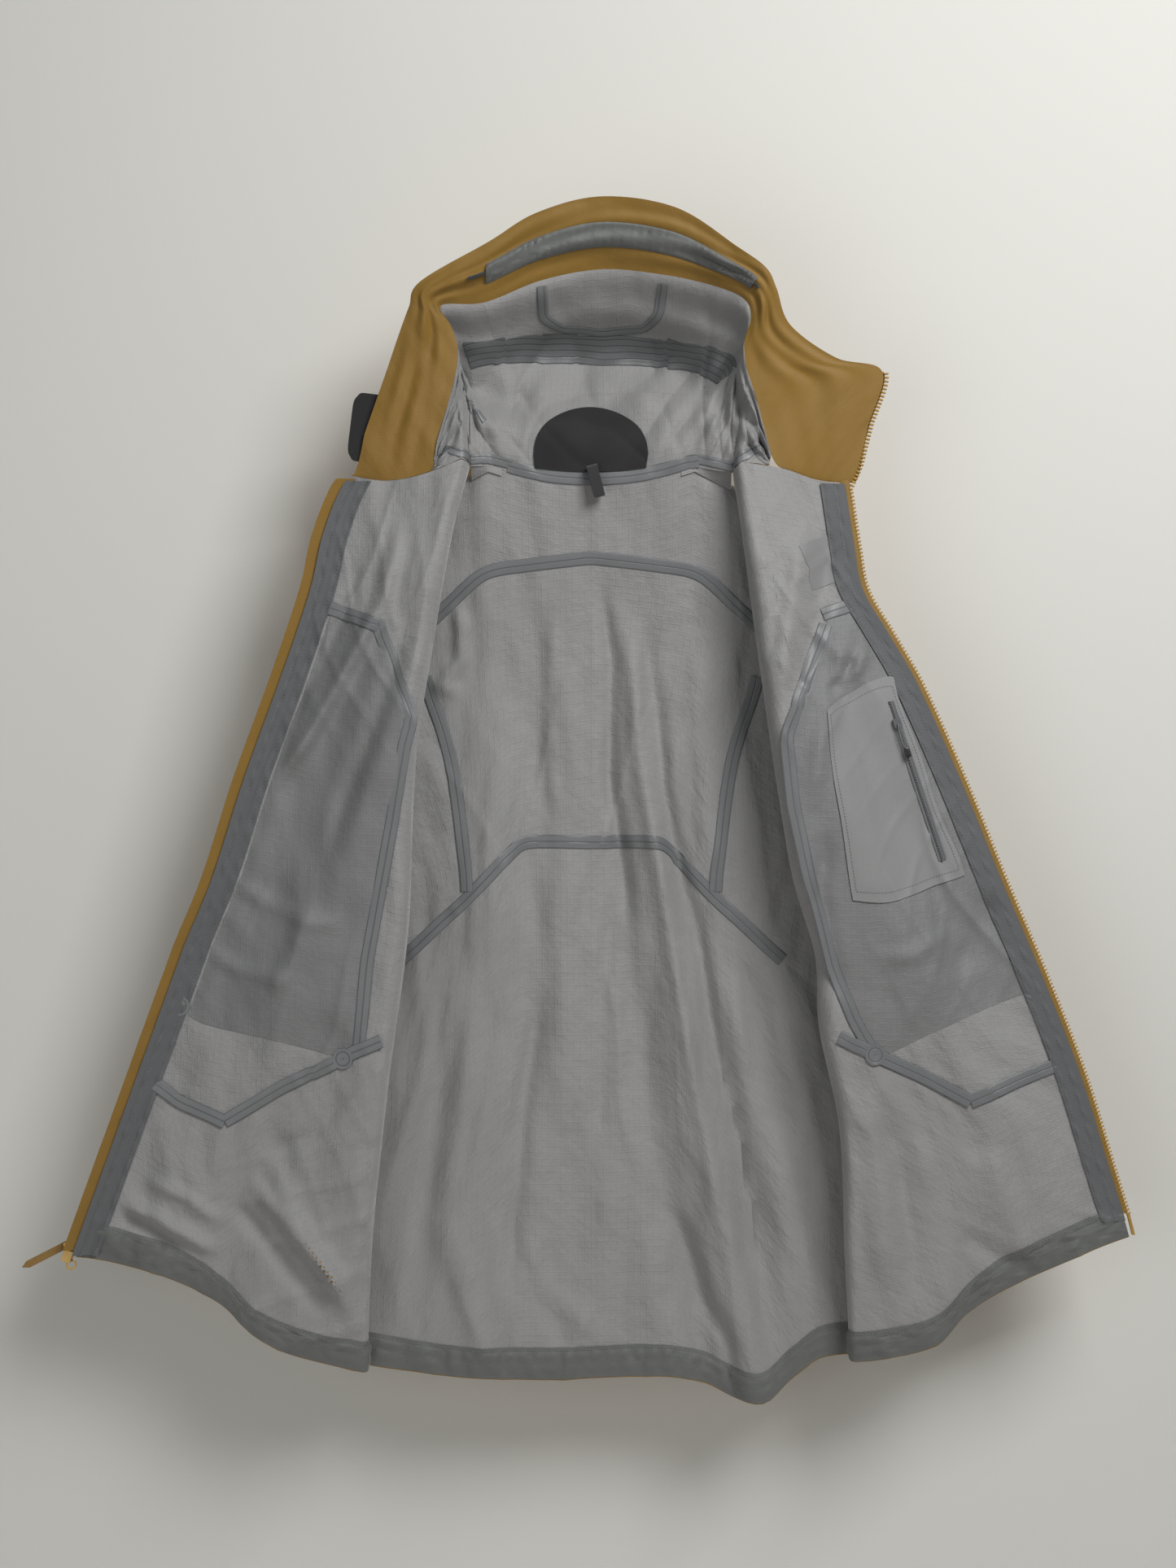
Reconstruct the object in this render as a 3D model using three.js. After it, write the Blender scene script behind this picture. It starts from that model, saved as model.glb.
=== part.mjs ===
// Hardshell jacket, women's XS, hung wide open by its loop with the inside toward -Y.
//
// Frame: millimetres, +Z up, +X to the wearer's left, +Y away from the open fronts. The
// origin is the middle of the back neck seam, where the hang loop is sewn in.
//
// The body is one draped sheet. A place on it is a column s and a row t. Columns run from
// the wearer's right zip edge (-1) through the centre back (0) to the left zip edge (+1);
// each half passes the front, a folded ridge, a hidden middle layer, the side turn and the
// back. Rows run from the top edge (0) through the yoke seam (1) and the waist seam (2) to
// the hem (3). Heights inside the drape are given as drops below the neck seam.
import * as THREE from 'three';

// ---------------------------------------------------------------- driving dimensions
const CLEARANCE = 0.3;
const BACK_LENGTH = 748; // neck seam to hem, centre back
const HEM_SPREAD = 883; // zip edge to zip edge at the hem, fronts laid open
const PATTERN_LENGTH = 748; // the outlines below are drawn at these two sizes
const PATTERN_SPREAD = 883;
const SHELL_THICK = 1.2;
const TAPE_THICK = 0.6;
const SEAM_GAP = 0.5; // between the edges of two panels that a seam joins
const LAYER_GAP = 0.7; // between a panel and what is laid on it
const TAPE_WIDTH = 11;
const HEM_FACING_WIDTH = 26;
const SHOULDER_Y = 14;
const SIDE_TURN_RADIUS = 18;
const ARMHOLE_DROP = 230; // underarm point below the neck seam
const SLEEVE_END_DROP = 632;
const CUFF_LENGTH = 46;
const CUFF_HALF_WIDTH = 50;
const CUFF_HALF_DEPTH = 16;
const CUFF_TAB = { length: 68, width: 28, thick: 1.6 };
const FLAP_WIDTH = 9; // gold edge in front of the right zip
const PLACKET_WIDTH = 21;
const ZIP_TAPE_WIDTH = 8;
const CHAIN_RADIUS = 2.2; // half the row of moulded teeth
const ZIP_EDGE_Y = -6;
const RIGHT_CHAIN_SETBACK = 4.4; // teeth behind the outer edge of the flap
const SLIDER = { length: 9.5, wall: 1.3, play: 0.35, slot: 1.9 };
const SLIDER_PITCH = 11; // between the two sliders at rest
const SLIDER_BELOW_TEETH = 5.85; // centre of the lower slider, along the chain
const RING_PULL = { radius: 4.6, wire: 0.8 };
const METAL_PULL = { length: 9, width: 5, thick: 1.1 };
const PULL_STRAP = { length: 40, width: 5.4, thick: 1.4, point: 4.8, tail: 1.2 };
const ZIP_PIN = { length: 18, radius: 1.5 };
const RETAINING_PIN_LENGTH = 11;
const POCKET_PANEL_LIFT = 2.2;
const COIL = { width: 4.4, thick: 1.6 };
const SMALL_SLIDER = { length: 8, width: 6.4, thick: 2.6 };
const SMALL_PULL = { length: 30, width: 5, thick: 1.6 };
const PULL_TAIL = 0.5; // of a pull, past its hinge
const HAND_ZIP_LENGTH = 165;
const HAND_ZIP_TOP_DROP = 205;
const CORD_RADIUS = 1.4;
const TUNNEL_RISE = 4.4;
const LOOP = { length: 27, width: 9, thick: 1.3, gap: 5, lean: 0.25, backY: -1.1, topZ: 8 };
const CORD_LOCK = { radius: 6, length: 15, button: 4.6, stem: 2.2, bore: 10, travel: 3 };
const LABEL = { thick: 0.8, bridge: 1 }; // bridge: it spans the hollows of the collar
const CHIN_GUARD = { width: 30, height: 56, thick: 1.6, corner: 6, behind: 4.4 };

const GRADE_Z = BACK_LENGTH / PATTERN_LENGTH;
const GRADE_X = HEM_SPREAD / PATTERN_SPREAD;

// ---------------------------------------------------------------- materials
const cloth = (color) => new THREE.MeshStandardMaterial({ color, roughness: 0.85, metalness: 0 });
const plastic = (color) => new THREE.MeshStandardMaterial({ color, roughness: 0.45, metalness: 0 });
const metal = (color) => new THREE.MeshStandardMaterial({ color, roughness: 0.35, metalness: 0.9 });
const GREY = 0x8f8e8c;
const DARK_GREY = 0x6d6f6f;
const TAPE_GREY = 0x767a7c;
const GOLD = 0xa87f2e;
const BLACK = 0x101113;

// ---------------------------------------------------------------- number helpers
const clamp = (v, low, high) => Math.min(high, Math.max(low, v));
const lerp = (a, b, k) => a + (b - a) * k;
const ease = (a, b, v) => {
  const k = clamp((v - a) / (b - a), 0, 1);
  return k * k * (3 - 2 * k);
};
const bell = (v, width) => Math.exp(-((v / width) ** 2));
const steps = (n) => Array.from({ length: n + 1 }, (_, i) => i / n);

// A smooth curve through [place, value] points, with the slope of its neighbours at each.
function curve(points) {
  const slope = points.map((p, i) => {
    const before = points[Math.max(0, i - 1)];
    const after = points[Math.min(points.length - 1, i + 1)];
    return (after[1] - before[1]) / (after[0] - before[0]);
  });
  return (place) => {
    const last = points.length - 1;
    if (place <= points[0][0]) return points[0][1] + slope[0] * (place - points[0][0]);
    if (place >= points[last][0]) return points[last][1] + slope[last] * (place - points[last][0]);
    const i = points.findIndex((p) => p[0] > place) - 1;
    const h = points[i + 1][0] - points[i][0];
    const k = (place - points[i][0]) / h;
    return (
      (2 * k ** 3 - 3 * k ** 2 + 1) * points[i][1] +
      (k ** 3 - 2 * k ** 2 + k) * h * slope[i] +
      (3 * k ** 2 - 2 * k ** 3) * points[i + 1][1] +
      (k ** 3 - k ** 2) * h * slope[i + 1]
    );
  };
}

// ---------------------------------------------------------------- the drape's outlines
// Points are [drop, distance out] or [distance out, drop], all on the drawn pattern.
const STRAIGHT_FROM = 385; // below this drop the right zip edge is a straight line
const STRAIGHT_SLOPE = 0.362;
const upperRightEdge = curve([
  [-9, 197], [10, 213], [50, 229], [90, 238], [131, 251], [171, 265], [251, 294], [332, 320], [385, 342],
]);
const rightEdge = (drop) =>
  drop < STRAIGHT_FROM ? upperRightEdge(drop) : 342 + STRAIGHT_SLOPE * (drop - STRAIGHT_FROM);

const RIGHT = {
  sign: -1,
  edge: rightEdge,
  ridge: curve([[-17, 98], [54, 115], [154, 132], [219, 142], [276, 146], [373, 150], [504, 167], [639, 181],
    [745, 185]]),
  turn: curve([[-20, 205], [230, 205], [380, 222], [520, 208], [650, 197], [745, 193]]),
  neck: curve([[98, -13], [132, 0], [165, 6], [200, 1]]),
  chest: curve([[150, 133], [170, 127], [222, 108], [250, 106]]),
  frontWaist: curve([[160, 458], [210, 481], [251, 501], [299, 530], [337, 515], [385, 487]]),
};
const LEFT = {
  sign: 1,
  edge: curve([[8, 214], [60, 222], [95, 229], [131, 250], [171, 273], [251, 309], [332, 342], [412, 376],
    [492, 407], [573, 432], [628, 449]]),
  ridge: curve([[-10, 115], [64, 125], [163, 138], [271, 154], [333, 165], [395, 183], [452, 186], [535, 203],
    [640, 208], [745, 214]]),
  turn: curve([[-20, 205], [230, 205], [380, 228], [452, 230], [520, 227], [650, 219], [745, 222]]),
  neck: curve([[115, -8], [157, -3], [184, 5], [214, 8]]),
  chest: curve([[150, 118], [209, 109], [229, 102], [260, 98]]),
  frontWaist: curve([[188, 454], [230, 474], [272, 494], [309, 514], [345, 498], [405, 476]]),
};
const hem = curve([[-434, 640], [-397, 645], [-350, 657], [-303, 681], [-275, 706], [-232, 725], [-162, 740],
  [-45, 748], [60, 746], [92, 751], [119, 763], [143, 765], [166, 748], [190, 731], [236, 725], [283, 712],
  [307, 688], [354, 661], [401, 639], [449, 622]]);
const backNeck = (out) => 6 - 11 * (out / 75) ** 2;
const shoulder = (out) => (out < 85 ? backNeck(out) : -8 + 0.46 * (out - 85));
const yoke = curve([[0, 66], [60, 73], [84, 77], [97, 84], [128, 113], [187, 165]]);
const backWaist = curve([[0, 303], [56, 303], [66, 310], [103, 349], [126, 370], [157, 399], [190, 424],
  [230, 440]]);
const princess = curve([[0, 152], [100, 150], [175, 136], [211, 124], [243, 116], [301, 108], [347, 104],
  [745, 122]]);

// Depths, as [drop, Y].
const ridgeY = curve([[-17, -24], [100, -34], [400, -34], [600, -20], [745, -6]]);
const middleY = curve([[-17, 0], [100, 4], [400, 4], [600, 6], [745, 7]]);
const backY = curve([[-10, 0], [60, 14], [150, 28], [400, 32], [600, 26], [745, 17]]);
const ridgeRadius = curve([[-17, 6], [100, 11], [400, 12], [600, 8], [745, 4]]);

// Long folds of the back: the line each follows as [drop, X], its height and its width.
const BACK_FOLDS = [
  { line: curve([[96, 27], [251, 42], [425, 72], [597, 103], [745, 138]]), rise: -11, width: 24 },
  { line: curve([[96, 6], [247, 14], [397, 32], [600, 60], [745, 104]]), rise: 7, width: 17 },
  { line: curve([[96, 44], [251, 62], [397, 93], [597, 132], [745, 160]]), rise: 5, width: 15 },
  { line: curve([[96, -70], [400, -72], [745, -98]]), rise: -6, width: 34 },
];
const backFolds = (x, drop) =>
  BACK_FOLDS.reduce((sum, f) => sum + f.rise * ease(60, 620, drop) * bell(x - f.line(drop), f.width), 0);

// ---------------------------------------------------------------- the drape itself
// One half's columns, from the zip edge (0) to the centre back (1).
const FRONT_COLUMNS = [0, 0.12, 0.24, 0.36, 0.45, 0.56, 0.68, 0.8, 0.9, 1];
const RIDGE_COLUMNS = [0.25, 0.5, 0.75, 1];
const MIDDLE_COLUMNS = [0.5, 1];
const TURN_COLUMNS = [0.25, 0.5, 0.75, 1];
const FLANK_COLUMNS = [0.5, 1];
const BACK_COLUMNS = [0.14, 0.28, 0.42, 0.56, 0.7, 0.84, 1];
const HALF_COLUMNS = [
  ...FRONT_COLUMNS.map((k) => ['front', k]),
  ...RIDGE_COLUMNS.map((k) => ['ridge', k]),
  ...MIDDLE_COLUMNS.map((k) => ['middle', k]),
  ...TURN_COLUMNS.map((k) => ['turn', k]),
  ...FLANK_COLUMNS.map((k) => ['flank', k]),
  ...BACK_COLUMNS.map((k) => ['back', k]),
];
const columnAfter = (kind) => HALF_COLUMNS.findLastIndex((c) => c[0] === kind);
const FRONT_SEAM = HALF_COLUMNS.findIndex((c) => c[0] === 'front' && c[1] === 0.9);
const FRONT_END = columnAfter('front');
const MIDDLE_END = columnAfter('middle');
const TURN_END = columnAfter('turn');
const PRINCESS = columnAfter('flank');
const CENTRE = columnAfter('back');
const ROWS = [0, 0.25, 0.5, 0.75, 1, 1.16, 1.33, 1.5, 1.66, 1.83, 2, 2.17, 2.33, 2.5, 2.67, 2.84, 3];

// How far a layer has rounded over from the shoulder seam: 0 on the seam, 1 well below it.
const shoulderArch = (out, drop) => {
  const k = clamp((drop - shoulder(out)) / 35, 0, 1);
  return Math.sqrt(1 - (1 - k) ** 2);
};
const middleDepth = (out, drop) => {
  const seam = SHOULDER_Y - SHELL_THICK;
  return lerp(seam, middleY(drop), shoulderArch(out, drop));
};
const backDepth = (x, drop) => {
  const out = Math.abs(x);
  const flat = backY(drop) + backFolds(x, drop);
  const rounded = lerp(SHOULDER_Y + SHELL_THICK, flat, shoulderArch(out, drop));
  return lerp(flat, rounded, ease(84, 110, out));
};
const frontFolds = (k, drop) =>
  4 * Math.sin(9 * k + drop / 70) * ease(60, 200, drop) * k * (1 - k) * 3;
const frontDepth = (drop, k) =>
  lerp(ZIP_EDGE_Y, ridgeY(drop), ease(0, 1.15, k)) + frontFolds(k, drop);

RIGHT.panelInset = FLAP_WIDTH + 3; // the panel stops this far inside the zip edge
LEFT.panelInset = 2 * CHAIN_RADIUS + 3;

// Distance out and depth of a column at a drop.
function across(side, [kind, k], drop) {
  const ridge = side.ridge(drop);
  const radius = ridgeRadius(drop);
  const turnOut = Math.max(side.turn(drop) - SIDE_TURN_RADIUS, ridge + radius + 2);
  const edge = side.edge(drop) - side.panelInset / GRADE_X;
  const frontEndY = frontDepth(drop, 1);
  const middle = (out) => middleDepth(out, drop);
  if (kind === 'front') {
    const out = lerp(edge, ridge + radius, k);
    return [out, frontDepth(drop, k)];
  }
  if (kind === 'ridge') {
    const angle = Math.PI * k;
    const out = ridge + radius * (1 - Math.sin(angle));
    return [out, lerp(frontEndY, middle(ridge + radius), (1 - Math.cos(angle)) / 2)];
  }
  if (kind === 'middle') {
    const out = lerp(ridge + radius, turnOut, k);
    return [out, middle(out)];
  }
  if (kind === 'turn') {
    const angle = Math.PI * k;
    const back = backDepth(side.sign * turnOut, drop);
    const share = (1 - Math.cos(angle)) / 2;
    return [turnOut + SIDE_TURN_RADIUS * Math.sin(angle), lerp(middle(turnOut), back, share)];
  }
  const inner = Math.min(princess(drop), turnOut - 14);
  const out = kind === 'flank' ? lerp(turnOut, inner, k) : lerp(inner, 0, k);
  return [out, backDepth(side.sign * out, drop)];
}

// Drops of the four row lines at a column that lies at a distance out.
function rowDrops(side, [kind, k], out) {
  const hemDrop = hem(side.sign * out);
  if (kind === 'front') return [side.neck(out), side.chest(out), side.frontWaist(out), hemDrop];
  if (kind === 'ridge') {
    const front = rowDrops(side, ['front', 1], out);
    return [lerp(front[0], shoulder(out), k), lerp(front[1], 140, k), lerp(front[2], 452, k), hemDrop];
  }
  if (kind === 'middle') return [shoulder(out), lerp(140, 165, k), lerp(452, 440, k), hemDrop];
  if (kind === 'turn') {
    const dip = Math.sin(Math.PI * k);
    const top = lerp(shoulder(out), ARMHOLE_DROP - 8, dip);
    return [top, lerp(165, ARMHOLE_DROP, dip), lerp(440, 424, k), hemDrop];
  }
  return [shoulder(out), yoke(out), backWaist(out), hemDrop];
}

// A point of the drape. Drop and distance out depend on each other, so they settle by turns.
function drape(side, column, row) {
  let out = 150;
  let drop = 300;
  let depth = 0;
  for (let turn = 0; turn < 24; turn += 1) {
    const lines = rowDrops(side, column, out);
    const from = Math.min(2, Math.floor(row));
    const wanted = lerp(lines[from], lines[from + 1], row - from);
    drop = lerp(drop, wanted, 0.7);
    const found = across(side, column, drop);
    out = lerp(out, found[0], 0.8);
    depth = found[1];
  }
  return new THREE.Vector3(side.sign * out * GRADE_X, depth, -drop * GRADE_Z);
}

const HALVES = new Map([RIGHT, LEFT].map((side) => [
  side, HALF_COLUMNS.map((column) => ROWS.map((row) => drape(side, column, row))),
]));

// The faceted drape at a fractional column and row of one half.
function facet(side, column, row) {
  const grid = HALVES.get(side);
  const i = clamp(Math.floor(column), 0, grid.length - 2);
  const j = clamp(ROWS.findLastIndex((r) => r <= row), 0, ROWS.length - 2);
  const a = column - i;
  const b = (row - ROWS[j]) / (ROWS[j + 1] - ROWS[j]);
  const near = grid[i][j];
  const far = grid[i + 1][j + 1];
  const corner = a > b ? grid[i + 1][j] : grid[i][j + 1];
  const share = a > b ? [1 - a, a - b, b] : [1 - b, b - a, a];
  return new THREE.Vector3()
    .addScaledVector(near, share[0])
    .addScaledVector(corner, share[1])
    .addScaledVector(far, share[2]);
}

// The column and row of the front layer at a place X, Z of one half.
function frontPlace(side, x, z) {
  const drop = -z / GRADE_Z;
  const out = (side.sign * x) / GRADE_X;
  const edge = across(side, ['front', 0], drop)[0];
  const ridge = across(side, ['front', 1], drop)[0];
  const k = (edge - out) / (edge - ridge);
  const i = clamp(FRONT_COLUMNS.findLastIndex((c) => c <= k), 0, FRONT_COLUMNS.length - 2);
  const column = i + (k - FRONT_COLUMNS[i]) / (FRONT_COLUMNS[i + 1] - FRONT_COLUMNS[i]);
  const lines = rowDrops(side, ['front', k], out);
  const from = drop < lines[1] ? 0 : drop < lines[2] ? 1 : 2;
  return [column, from + (drop - lines[from]) / (lines[from + 1] - lines[from])];
}
const onFront = (side, x, z, lift) => {
  const [column, row] = frontPlace(side, x, z);
  const p = facet(side, column, row);
  return new THREE.Vector3(x, p.y - lift, z);
};

// ---------------------------------------------------------------- solid builders
const jacket = new THREE.Group();

function addMesh(name, geometry, material) {
  const mesh = new THREE.Mesh(geometry, material);
  mesh.name = name;
  jacket.add(mesh);
  return mesh;
}

function fromTriangles(points, faces) {
  let volume = 0;
  faces.forEach(([a, b, c]) => {
    volume += points[a].dot(new THREE.Vector3().crossVectors(points[b], points[c]));
  });
  const index = faces.flatMap(([a, b, c]) => (volume > 0 ? [a, b, c] : [a, c, b]));
  const geometry = new THREE.BufferGeometry().setFromPoints(points);
  geometry.setIndex(index);
  geometry.computeVertexNormals();
  return geometry;
}

// Vertex normals of a grid of points; a ring grid wraps in its first direction.
function gridNormals(grid, ring) {
  const columns = grid.length;
  const rows = grid[0].length;
  return grid.map((line, i) => line.map((p, j) => {
    const left = grid[ring ? (i + columns - 1) % columns : Math.max(0, i - 1)][j];
    const right = grid[ring ? (i + 1) % columns : Math.min(columns - 1, i + 1)][j];
    const up = line[Math.max(0, j - 1)];
    const down = line[Math.min(rows - 1, j + 1)];
    return new THREE.Vector3()
      .crossVectors(right.clone().sub(left), down.clone().sub(up))
      .normalize();
  }));
}

// A sheet of even thickness on a grid of points, closed at its edges. With ring, the first
// direction closes on itself and the solid is an open tube with a wall.
function sheet(grid, thick, ring = false) {
  const columns = grid.length;
  const rows = grid[0].length;
  const normals = gridNormals(grid, ring);
  const points = [];
  [0.5, -0.5].forEach((share) => grid.forEach((line, i) => line.forEach((p, j) => {
    points.push(p.clone().addScaledVector(normals[i][j], share * thick));
  })));
  const at = (i, j, layer) => layer * columns * rows + (i % columns) * rows + j;
  const faces = [];
  const quad = (a, b, c, d) => faces.push([a, b, c], [a, c, d]);
  const spans = ring ? columns : columns - 1;
  for (let i = 0; i < spans; i += 1) {
    for (let j = 0; j < rows - 1; j += 1) {
      quad(at(i, j, 0), at(i + 1, j, 0), at(i + 1, j + 1, 0), at(i, j + 1, 0));
      quad(at(i, j, 1), at(i, j + 1, 1), at(i + 1, j + 1, 1), at(i + 1, j, 1));
    }
    quad(at(i, 0, 1), at(i + 1, 0, 1), at(i + 1, 0, 0), at(i, 0, 0));
    quad(at(i, rows - 1, 0), at(i + 1, rows - 1, 0), at(i + 1, rows - 1, 1), at(i, rows - 1, 1));
  }
  if (!ring) {
    for (let j = 0; j < rows - 1; j += 1) {
      quad(at(0, j, 0), at(0, j + 1, 0), at(0, j + 1, 1), at(0, j, 1));
      quad(at(columns - 1, j, 1), at(columns - 1, j + 1, 1),
        at(columns - 1, j + 1, 0), at(columns - 1, j, 0));
    }
  }
  // The bent faces above split along the same diagonal as facet(); the volume's sign turns
  // them outward.
  return fromTriangles(points, faces);
}

// Draws the end lines of a grid in by a distance, to leave a seam's gap.
function trimmed(grid, { first = 0, last = 0, top = 0, bottom = 0 }) {
  const pull = (p, q, distance) => p.lerp(q, Math.min(0.45, distance / Math.max(1e-6, p.distanceTo(q))));
  const copy = grid.map((line) => line.map((p) => p.clone()));
  const columns = copy.length;
  const rows = copy[0].length;
  for (let j = 0; j < rows; j += 1) {
    if (first) pull(copy[0][j], copy[1][j], first);
    if (last) pull(copy[columns - 1][j], copy[columns - 2][j], last);
  }
  copy.forEach((line) => {
    if (top) pull(line[0], line[1], top);
    if (bottom) pull(line[rows - 1], line[rows - 2], bottom);
  });
  return copy;
}

// A solid bar of any flat outline, thick along one axis, laid in a frame of three vectors.
function plate(shape, thick, origin, along, across_) {
  const geometry = new THREE.ExtrudeGeometry(shape, { depth: thick, bevelEnabled: false, curveSegments: 6 });
  const normal = new THREE.Vector3().crossVectors(across_, along).normalize();
  geometry.translate(0, 0, -thick / 2);
  geometry.applyMatrix4(new THREE.Matrix4().makeBasis(across_, along, normal).setPosition(origin));
  return geometry;
}

function roundedShape(width, height, corner) {
  const shape = new THREE.Shape();
  const [w, h] = [width / 2, height / 2];
  shape.moveTo(-w + corner, -h);
  shape.lineTo(w - corner, -h);
  shape.absarc(w - corner, -h + corner, corner, -Math.PI / 2, 0, false);
  shape.lineTo(w, h - corner);
  shape.absarc(w - corner, h - corner, corner, 0, Math.PI / 2, false);
  shape.lineTo(-w + corner, h);
  shape.absarc(-w + corner, h - corner, corner, Math.PI / 2, Math.PI, false);
  shape.lineTo(-w, -h + corner);
  shape.absarc(-w + corner, -h + corner, corner, Math.PI, 1.5 * Math.PI, false);
  return shape;
}

function tube(points, radius, sides, count) {
  const section = new THREE.Shape();
  section.absarc(0, 0, radius, 0, 2 * Math.PI, false);
  const path = new THREE.CatmullRomCurve3(points);
  return new THREE.ExtrudeGeometry(section, {
    extrudePath: path, steps: count, bevelEnabled: false, curveSegments: sides,
  });
}

// ---------------------------------------------------------------- body panels
// Grid of one half between two columns and two rows.
function halfGrid(side, firstColumn, lastColumn, firstRow, lastRow) {
  const rows = ROWS.filter((r) => r >= firstRow && r <= lastRow);
  const grid = [];
  for (let c = firstColumn; c <= lastColumn; c += 1) grid.push(rows.map((r) => facet(side, c, r)));
  return grid;
}
// Grid across the centre back, from a column of the right half to the same one of the left.
function fullGrid(firstColumn, firstRow, lastRow) {
  const right = halfGrid(RIGHT, firstColumn, CENTRE, firstRow, lastRow);
  const left = halfGrid(LEFT, firstColumn, CENTRE, firstRow, lastRow);
  return [...right, ...left.reverse().slice(1)];
}
const SEAMS = { first: SEAM_GAP / 2, last: SEAM_GAP / 2, top: SEAM_GAP / 2, bottom: SEAM_GAP / 2 };
const panel = (name, grid) => addMesh(name, sheet(trimmed(grid, SEAMS), SHELL_THICK), cloth(GREY));

panel('back_yoke_panel', fullGrid(TURN_END, 0, 1));
panel('back_centre_panel', fullGrid(PRINCESS, 1, 2));
panel('back_lower_panel', fullGrid(MIDDLE_END, 2, 3));
[['right', RIGHT], ['left', LEFT]].forEach(([name, side]) => {
  panel(`${name}_front_panel`, halfGrid(side, 0, FRONT_SEAM, 0, 2));
  panel(`${name}_shoulder_panel`, halfGrid(side, FRONT_SEAM, MIDDLE_END, 0, 1));
  panel(`${name}_side_panel`, halfGrid(side, FRONT_SEAM, PRINCESS, 1, 2));
  panel(`${name}_front_lower_panel`, halfGrid(side, 0, MIDDLE_END, 2, 3));
});

// ---------------------------------------------------------------- sleeves and cuffs
// Each sleeve starts as the armhole ring, drops behind the back and hangs as a flat tube.
const SLEEVE_SIDES = 20;
const SLEEVE_TOP_OUT = 187;
const HANG = { top: 330, topOut: 216, topHalf: 68, bottomOut: 232, depth: 68, halfDepth: 20 };
function sleeveRing(side, k) {
  // k runs 0..1 from the armhole to the hanging tube, then 1..2 down to the cuff.
  const settle = Math.min(1, k);
  const down = Math.max(0, k - 1);
  const centreOut = lerp(HANG.topOut, HANG.bottomOut, down);
  const halfWidth = lerp(HANG.topHalf, CUFF_HALF_WIDTH, down);
  const halfDepth = lerp(HANG.halfDepth, CUFF_HALF_DEPTH, down);
  const drop = lerp(HANG.top, SLEEVE_END_DROP, down);
  return steps(SLEEVE_SIDES).slice(0, -1).map((turn) => {
    const angle = 2 * Math.PI * turn;
    const start = [SLEEVE_TOP_OUT + 11 * (1 - Math.cos(angle)), 18 - 13 * Math.sin(angle),
      lerp(48, ARMHOLE_DROP + 2, (1 - Math.cos(angle)) / 2)];
    const hung = [centreOut + halfWidth * Math.cos(angle), HANG.depth - halfDepth * Math.sin(angle), drop];
    const out = lerp(start[0], hung[0], settle ** 2);
    const depth = lerp(start[1], hung[1], settle ** 0.5);
    return new THREE.Vector3(side.sign * out * GRADE_X, depth, -lerp(start[2], hung[2], settle) * GRADE_Z);
  });
}
const ringsToGrid = (rings) => rings[0].map((_, i) => rings.map((ring) => ring[i]));

function cuffRing(side, down, grow) {
  const out = HANG.bottomOut * GRADE_X;
  const z = -SLEEVE_END_DROP * GRADE_Z - SEAM_GAP - down;
  return steps(SLEEVE_SIDES).slice(0, -1).map((turn) => {
    const angle = 2 * Math.PI * turn;
    return new THREE.Vector3(side.sign * (out + (CUFF_HALF_WIDTH + grow) * Math.cos(angle)),
      HANG.depth - (CUFF_HALF_DEPTH + grow) * Math.sin(angle), z);
  });
}

[['right', RIGHT], ['left', LEFT]].forEach(([name, side]) => {
  const ks = [0, 0.04, 0.1, 0.2, 0.35, 0.55, 0.8, 1, 1.25, 1.5, 1.75, 2];
  const rings = ks.map((k) => sleeveRing(side, k));
  addMesh(`${name}_sleeve`, sheet(ringsToGrid(rings), SHELL_THICK, true), cloth(GOLD));
  const cuffRings = [0, 0.5, 1].map((k) => cuffRing(side, k * CUFF_LENGTH, 0));
  addMesh(`${name}_cuff`, sheet(ringsToGrid(cuffRings), SHELL_THICK, true), cloth(GOLD));
  const tabY = HANG.depth + CUFF_HALF_DEPTH + SHELL_THICK / 2 + LAYER_GAP + CUFF_TAB.thick / 2;
  const centre = new THREE.Vector3(side.sign * HANG.bottomOut * GRADE_X, tabY,
    -SLEEVE_END_DROP * GRADE_Z - SEAM_GAP - CUFF_LENGTH / 2);
  const across_ = new THREE.Vector3(1, 0, 0);
  const up = new THREE.Vector3(0, 0, 1);
  addMesh(`${name}_cuff_tab`, plate(roundedShape(CUFF_TAB.length, CUFF_TAB.width, 5), CUFF_TAB.thick, centre,
    up, across_), cloth(BLACK));
});

// ---------------------------------------------------------------- hood and collar
// The hood and collar open toward -Y as a bowl between three lines: the rim (free edge), the
// inner edge of the gold facing, and the neck seam. Points are X, Z, Y on the pattern.
const RIM = [[-197, 2, -8], [-186, 32, -10], [-169, 79, -14], [-158, 108, -22], [-148, 132, -30],
  [-138, 151, -38], [-83, 182, -42], [-44, 205, -44], [8, 218, -44], [68, 209, -44], [117, 178, -43],
  [140, 162, -40], [149, 146, -36], [161, 118, -28], [199, 94, -16], [238, 84, -8], [226, 38, -6],
  [215, -6, -7]];
const FACING_EDGE = [[-132, 1, -18], [-125, 28, -19], [-112, 74, -20], [-109, 98, -21], [-114, 117, -23],
  [-122, 134, -27], [-87, 137, -25], [-41, 156, -20], [9, 166, -16], [59, 161, -18], [100, 151, -22],
  [123, 140, -26], [129, 126, -26], [124, 104, -24], [126, 84, -22], [134, 60, -20], [141, 34, -18],
  [155, 3, -18]];
const NECK_X = [-132, -124, -112, -100, -88, -74, -56, -36, 0, 40, 62, 80, 92, 104, 114, 126, 138, 155];
const INSIDE_DEPTH = [0, 2, 8, 14, 20, 30, 40, 46, 48, 46, 40, 30, 20, 14, 8, 4, 2, 0];
const LAST_MARK = RIM.length - 1;
const BRIM_MARKS = [5, 12];
const CROWN_MARKS = [6, 11];

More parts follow.
